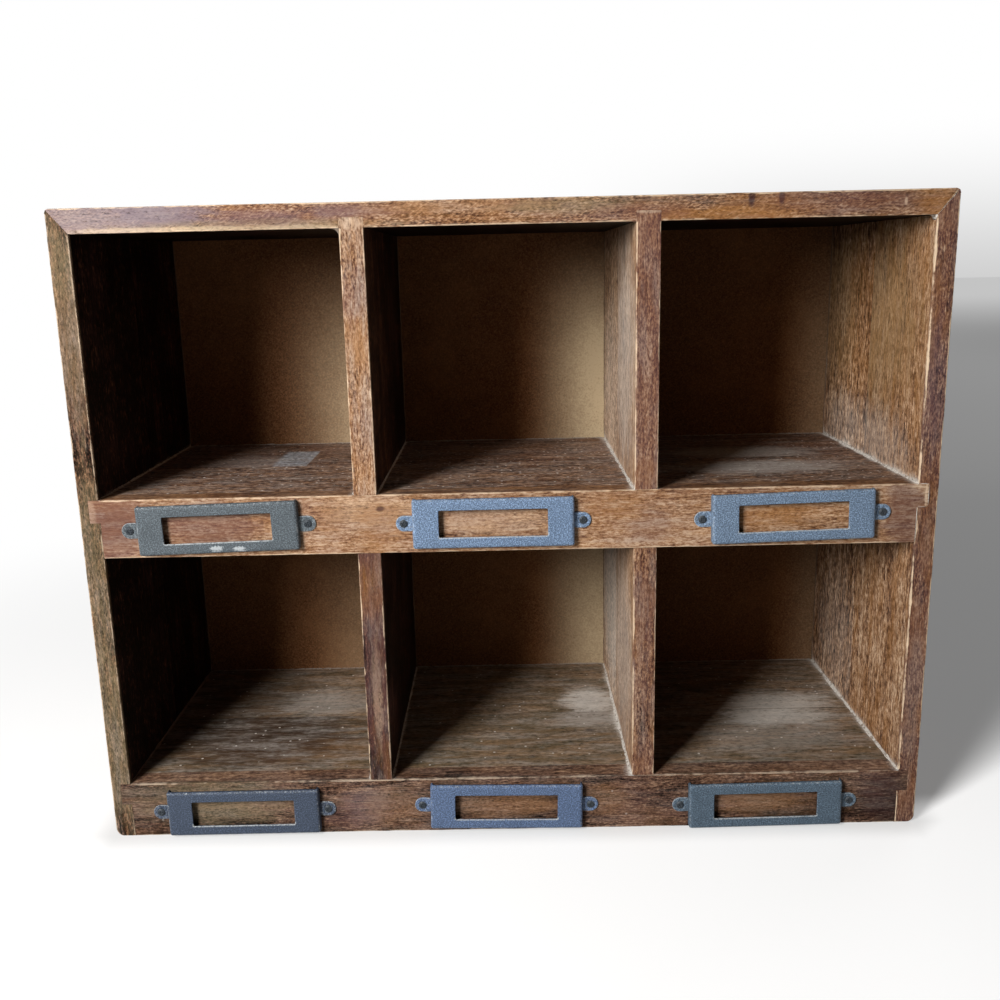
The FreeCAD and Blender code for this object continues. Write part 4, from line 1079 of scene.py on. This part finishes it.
for number, (x, z) in enumerate(nailCentres):
    n = nailLook
    angle = np.arange(20) * 2 * pi / 20
    wobble = 1 + 0.05 * np.sin(angle * 2 + number)
    rows = [(q * n["head"] * wobble, -d * mm) for q, d in n["profile"]]
    rows += [(n["shank"], 0.0), (n["shank"], -0.88 * n["length"]), (n["tip"], -n["length"])]
    shape = np.array([np.stack([-q * np.cos(angle), d + 0 * angle, q * np.sin(angle)], axis=-1)
                      for q, d in rows])
    shine = np.array(n["shine"])[:, None] + 0 * shape[..., 0]
    nailShells.append((shape + [x, panelHigh[1], z], shine, "caps"))
points, worn, faces = joinShells(nailShells)
nailSteel = metalMaterial("nail_steel", nailLook["rust"], nailLook["steel"], 0.4, 0.85)
makePiece("panel_nails", points, faces, {"wear": worn}, nailSteel, ["back_panel_nails"])
print(f"{len(nailCentres)} nails made")


# Studio: one tall soft key near the left, a weak fill behind on the right, and a pale floor. The camera and
# glossy rays see the floor lifted to white, less so in a painted shadow that lies where the key's shadow falls
# behind on the right and reaches far past it.
studio = {
    "floor": 0.5, "floorReach": 12.0, "keyPlace": (-0.53, -0.77, 0.54), "keySize": (0.29, 0.44),
    "keyPower": 12.6, "keyColour": (1.0, 0.985, 0.96), "fillPlace": (1.6, 1.9, 2.0), "fillSize": (1.4, 1.4),
    "fillPower": 12.0, "aim": (0, 0, 0.15), "ambient": 0.006, "lift": 0.66, "shadowLift": 0.165,
    "shadowEdge": (0.70, 1.42), "shadowFade": (1.3, 7.0), "fadeShare": 0.33, "shadowNear": 0.03,
    "shadowAcross": (-0.1, 0.12), "contactReach": 0.018, "contactShadow": 0.33, "white": (0.26, 0.75),
    "skyShade": 0.40, "skyFade": (-0.05, 0.12), "skyAcross": (0.0, 0.3), "skyAhead": (0.0, 0.2),
}


# 1 for rays that should see a white background
def whiteRays(flow):
    kinds = ("Camera", "Glossy", "Transmission")
    seen = [flow.node("LightPath", output=f"Is {kind} Ray") for kind in kinds]
    return (seen[0] + seen[1] + seen[2]).math("MINIMUM", 1.0)


# The floor is a diffuse white with light added, (lift - shadow) x (1 - contact shadow): the painted shadow
# lies between two slopes from the case's front right corner, and a painted contact shadow darkens the floor
# close to the case
floorMaterial, flow = newMaterial("pale_floor")
place = flow.place()
acrossFloor, backFloor = place.split()[:2]
slope = (acrossFloor - cadHigh[0]).math("DIVIDE", (backFloor - frontY).math("MAXIMUM", 0.001))
shaded = (1 - slope.rise(*studio["shadowEdge"])) * backFloor.rise(frontY, frontY + studio["shadowNear"])
shaded = shaded * acrossFloor.rise(*studio["shadowAcross"])
shaded = shaded * (1 - backFloor.rise(*studio["shadowFade"]) * studio["fadeShare"])
besideX = (acrossFloor.math("ABSOLUTE") - outerX).math("MAXIMUM", 0.0)
besideY = (backFloor - (frontY + backY) / 2).math("ABSOLUTE") - (backY - frontY) / 2
besideY = besideY.math("MAXIMUM", 0.0)
contactShadow = (1 - (besideX + besideY).rise(0.0, studio["contactReach"])) * studio["contactShadow"]
rays = whiteRays(flow)
strength = (studio["lift"] + shaded * (studio["shadowLift"] - studio["lift"])) * (1 - contactShadow)
plain = flow.node("BsdfDiffuse", {}, {"Color": (studio["floor"],) * 3 + (1,)})
lift = flow.node("Emission", {}, {"Color": (1, 1, 1, 1), "Strength": rays * strength})
lifted = flow.node("AddShader", {}, {0: plain, 1: lift})
white = flow.node("Emission", {}, {"Color": (1, 1, 1, 1), "Strength": 1.0})
faded = place.length().rise(*studio["white"]) * (1 - shaded) * rays
flow.node("MixShader", {}, {0: faded, 1: lifted, 2: white}).show()
floorMesh = bpy.data.meshes.new("pale_floor")
reach = studio["floorReach"]
corners = [(-reach, -reach, 0), (reach, -reach, 0), (reach, reach, 0), (-reach, reach, 0)]
floorMesh.from_pydata(corners, [], [(0, 1, 2, 3)])
floorMesh.materials.append(floorMaterial)
floor = bpy.data.objects.new("pale_floor", floorMesh)
bpy.context.scene.collection.objects.link(floor)


# A rectangular light at a place, tilted by atan2(level distance, drop) and turned to face the aim
def areaLight(name, place, size, power, colour):
    lamp = bpy.data.lights.new(name, "AREA")
    lamp.shape = "RECTANGLE"
    lamp.size, lamp.size_y = size
    lamp.energy = power
    lamp.color = colour
    light = bpy.data.objects.new(name, lamp)
    light.location = place
    aim = np.array(studio["aim"]) - np.array(place)
    light.rotation_euler = (np.arctan2(np.hypot(aim[0], aim[1]), -aim[2]), 0, np.arctan2(-aim[0], aim[1]))
    bpy.context.scene.collection.objects.link(light)


areaLight("key", studio["keyPlace"], studio["keySize"], studio["keyPower"], studio["keyColour"])
areaLight("fill", studio["fillPlace"], studio["fillSize"], studio["fillPower"], (1, 1, 1))
world = bpy.data.worlds.new("studio")
world.use_nodes = True
bpy.context.scene.world = world
world.node_tree.nodes.clear()
flow = Flow(world.node_tree)
# painted shadow: camera and glossy rays see the sky greyer just above the horizon towards the back right
aside, ahead, above = flow.node("TexCoord", output="Generated").split()
slope = aside.math("DIVIDE", ahead.math("MAXIMUM", 0.001))
shaded = slope.rise(*studio["skyAcross"]) * (1 - slope.rise(*studio["shadowEdge"]))
shaded = shaded * (1 - above.rise(*studio["skyFade"])) * ahead.rise(*studio["skyAhead"])
strength = whiteRays(flow) * (1 - studio["ambient"] - shaded * studio["skyShade"]) + studio["ambient"]
sky = flow.node("Background", {}, {"Color": (1, 1, 1, 1), "Strength": strength})
sky.show("OutputWorld")

cameraView = {"place": (0.0007, -0.54397, 0.2806), "turn": (77.004, 1.264, 0.201), "lens": 36.787}
lens = bpy.data.cameras.new("camera")
lens.lens = cameraView["lens"]
lens.sensor_width = 36
lens.clip_start = 0.01
camera = bpy.data.objects.new("camera", lens)
camera.location = cameraView["place"]
camera.rotation_euler = Euler([radians(a) for a in cameraView["turn"]], "XYZ")
bpy.context.scene.collection.objects.link(camera)
bpy.context.scene.camera = camera
bpy.context.scene.view_settings.view_transform = "Standard"
print("studio and camera set")
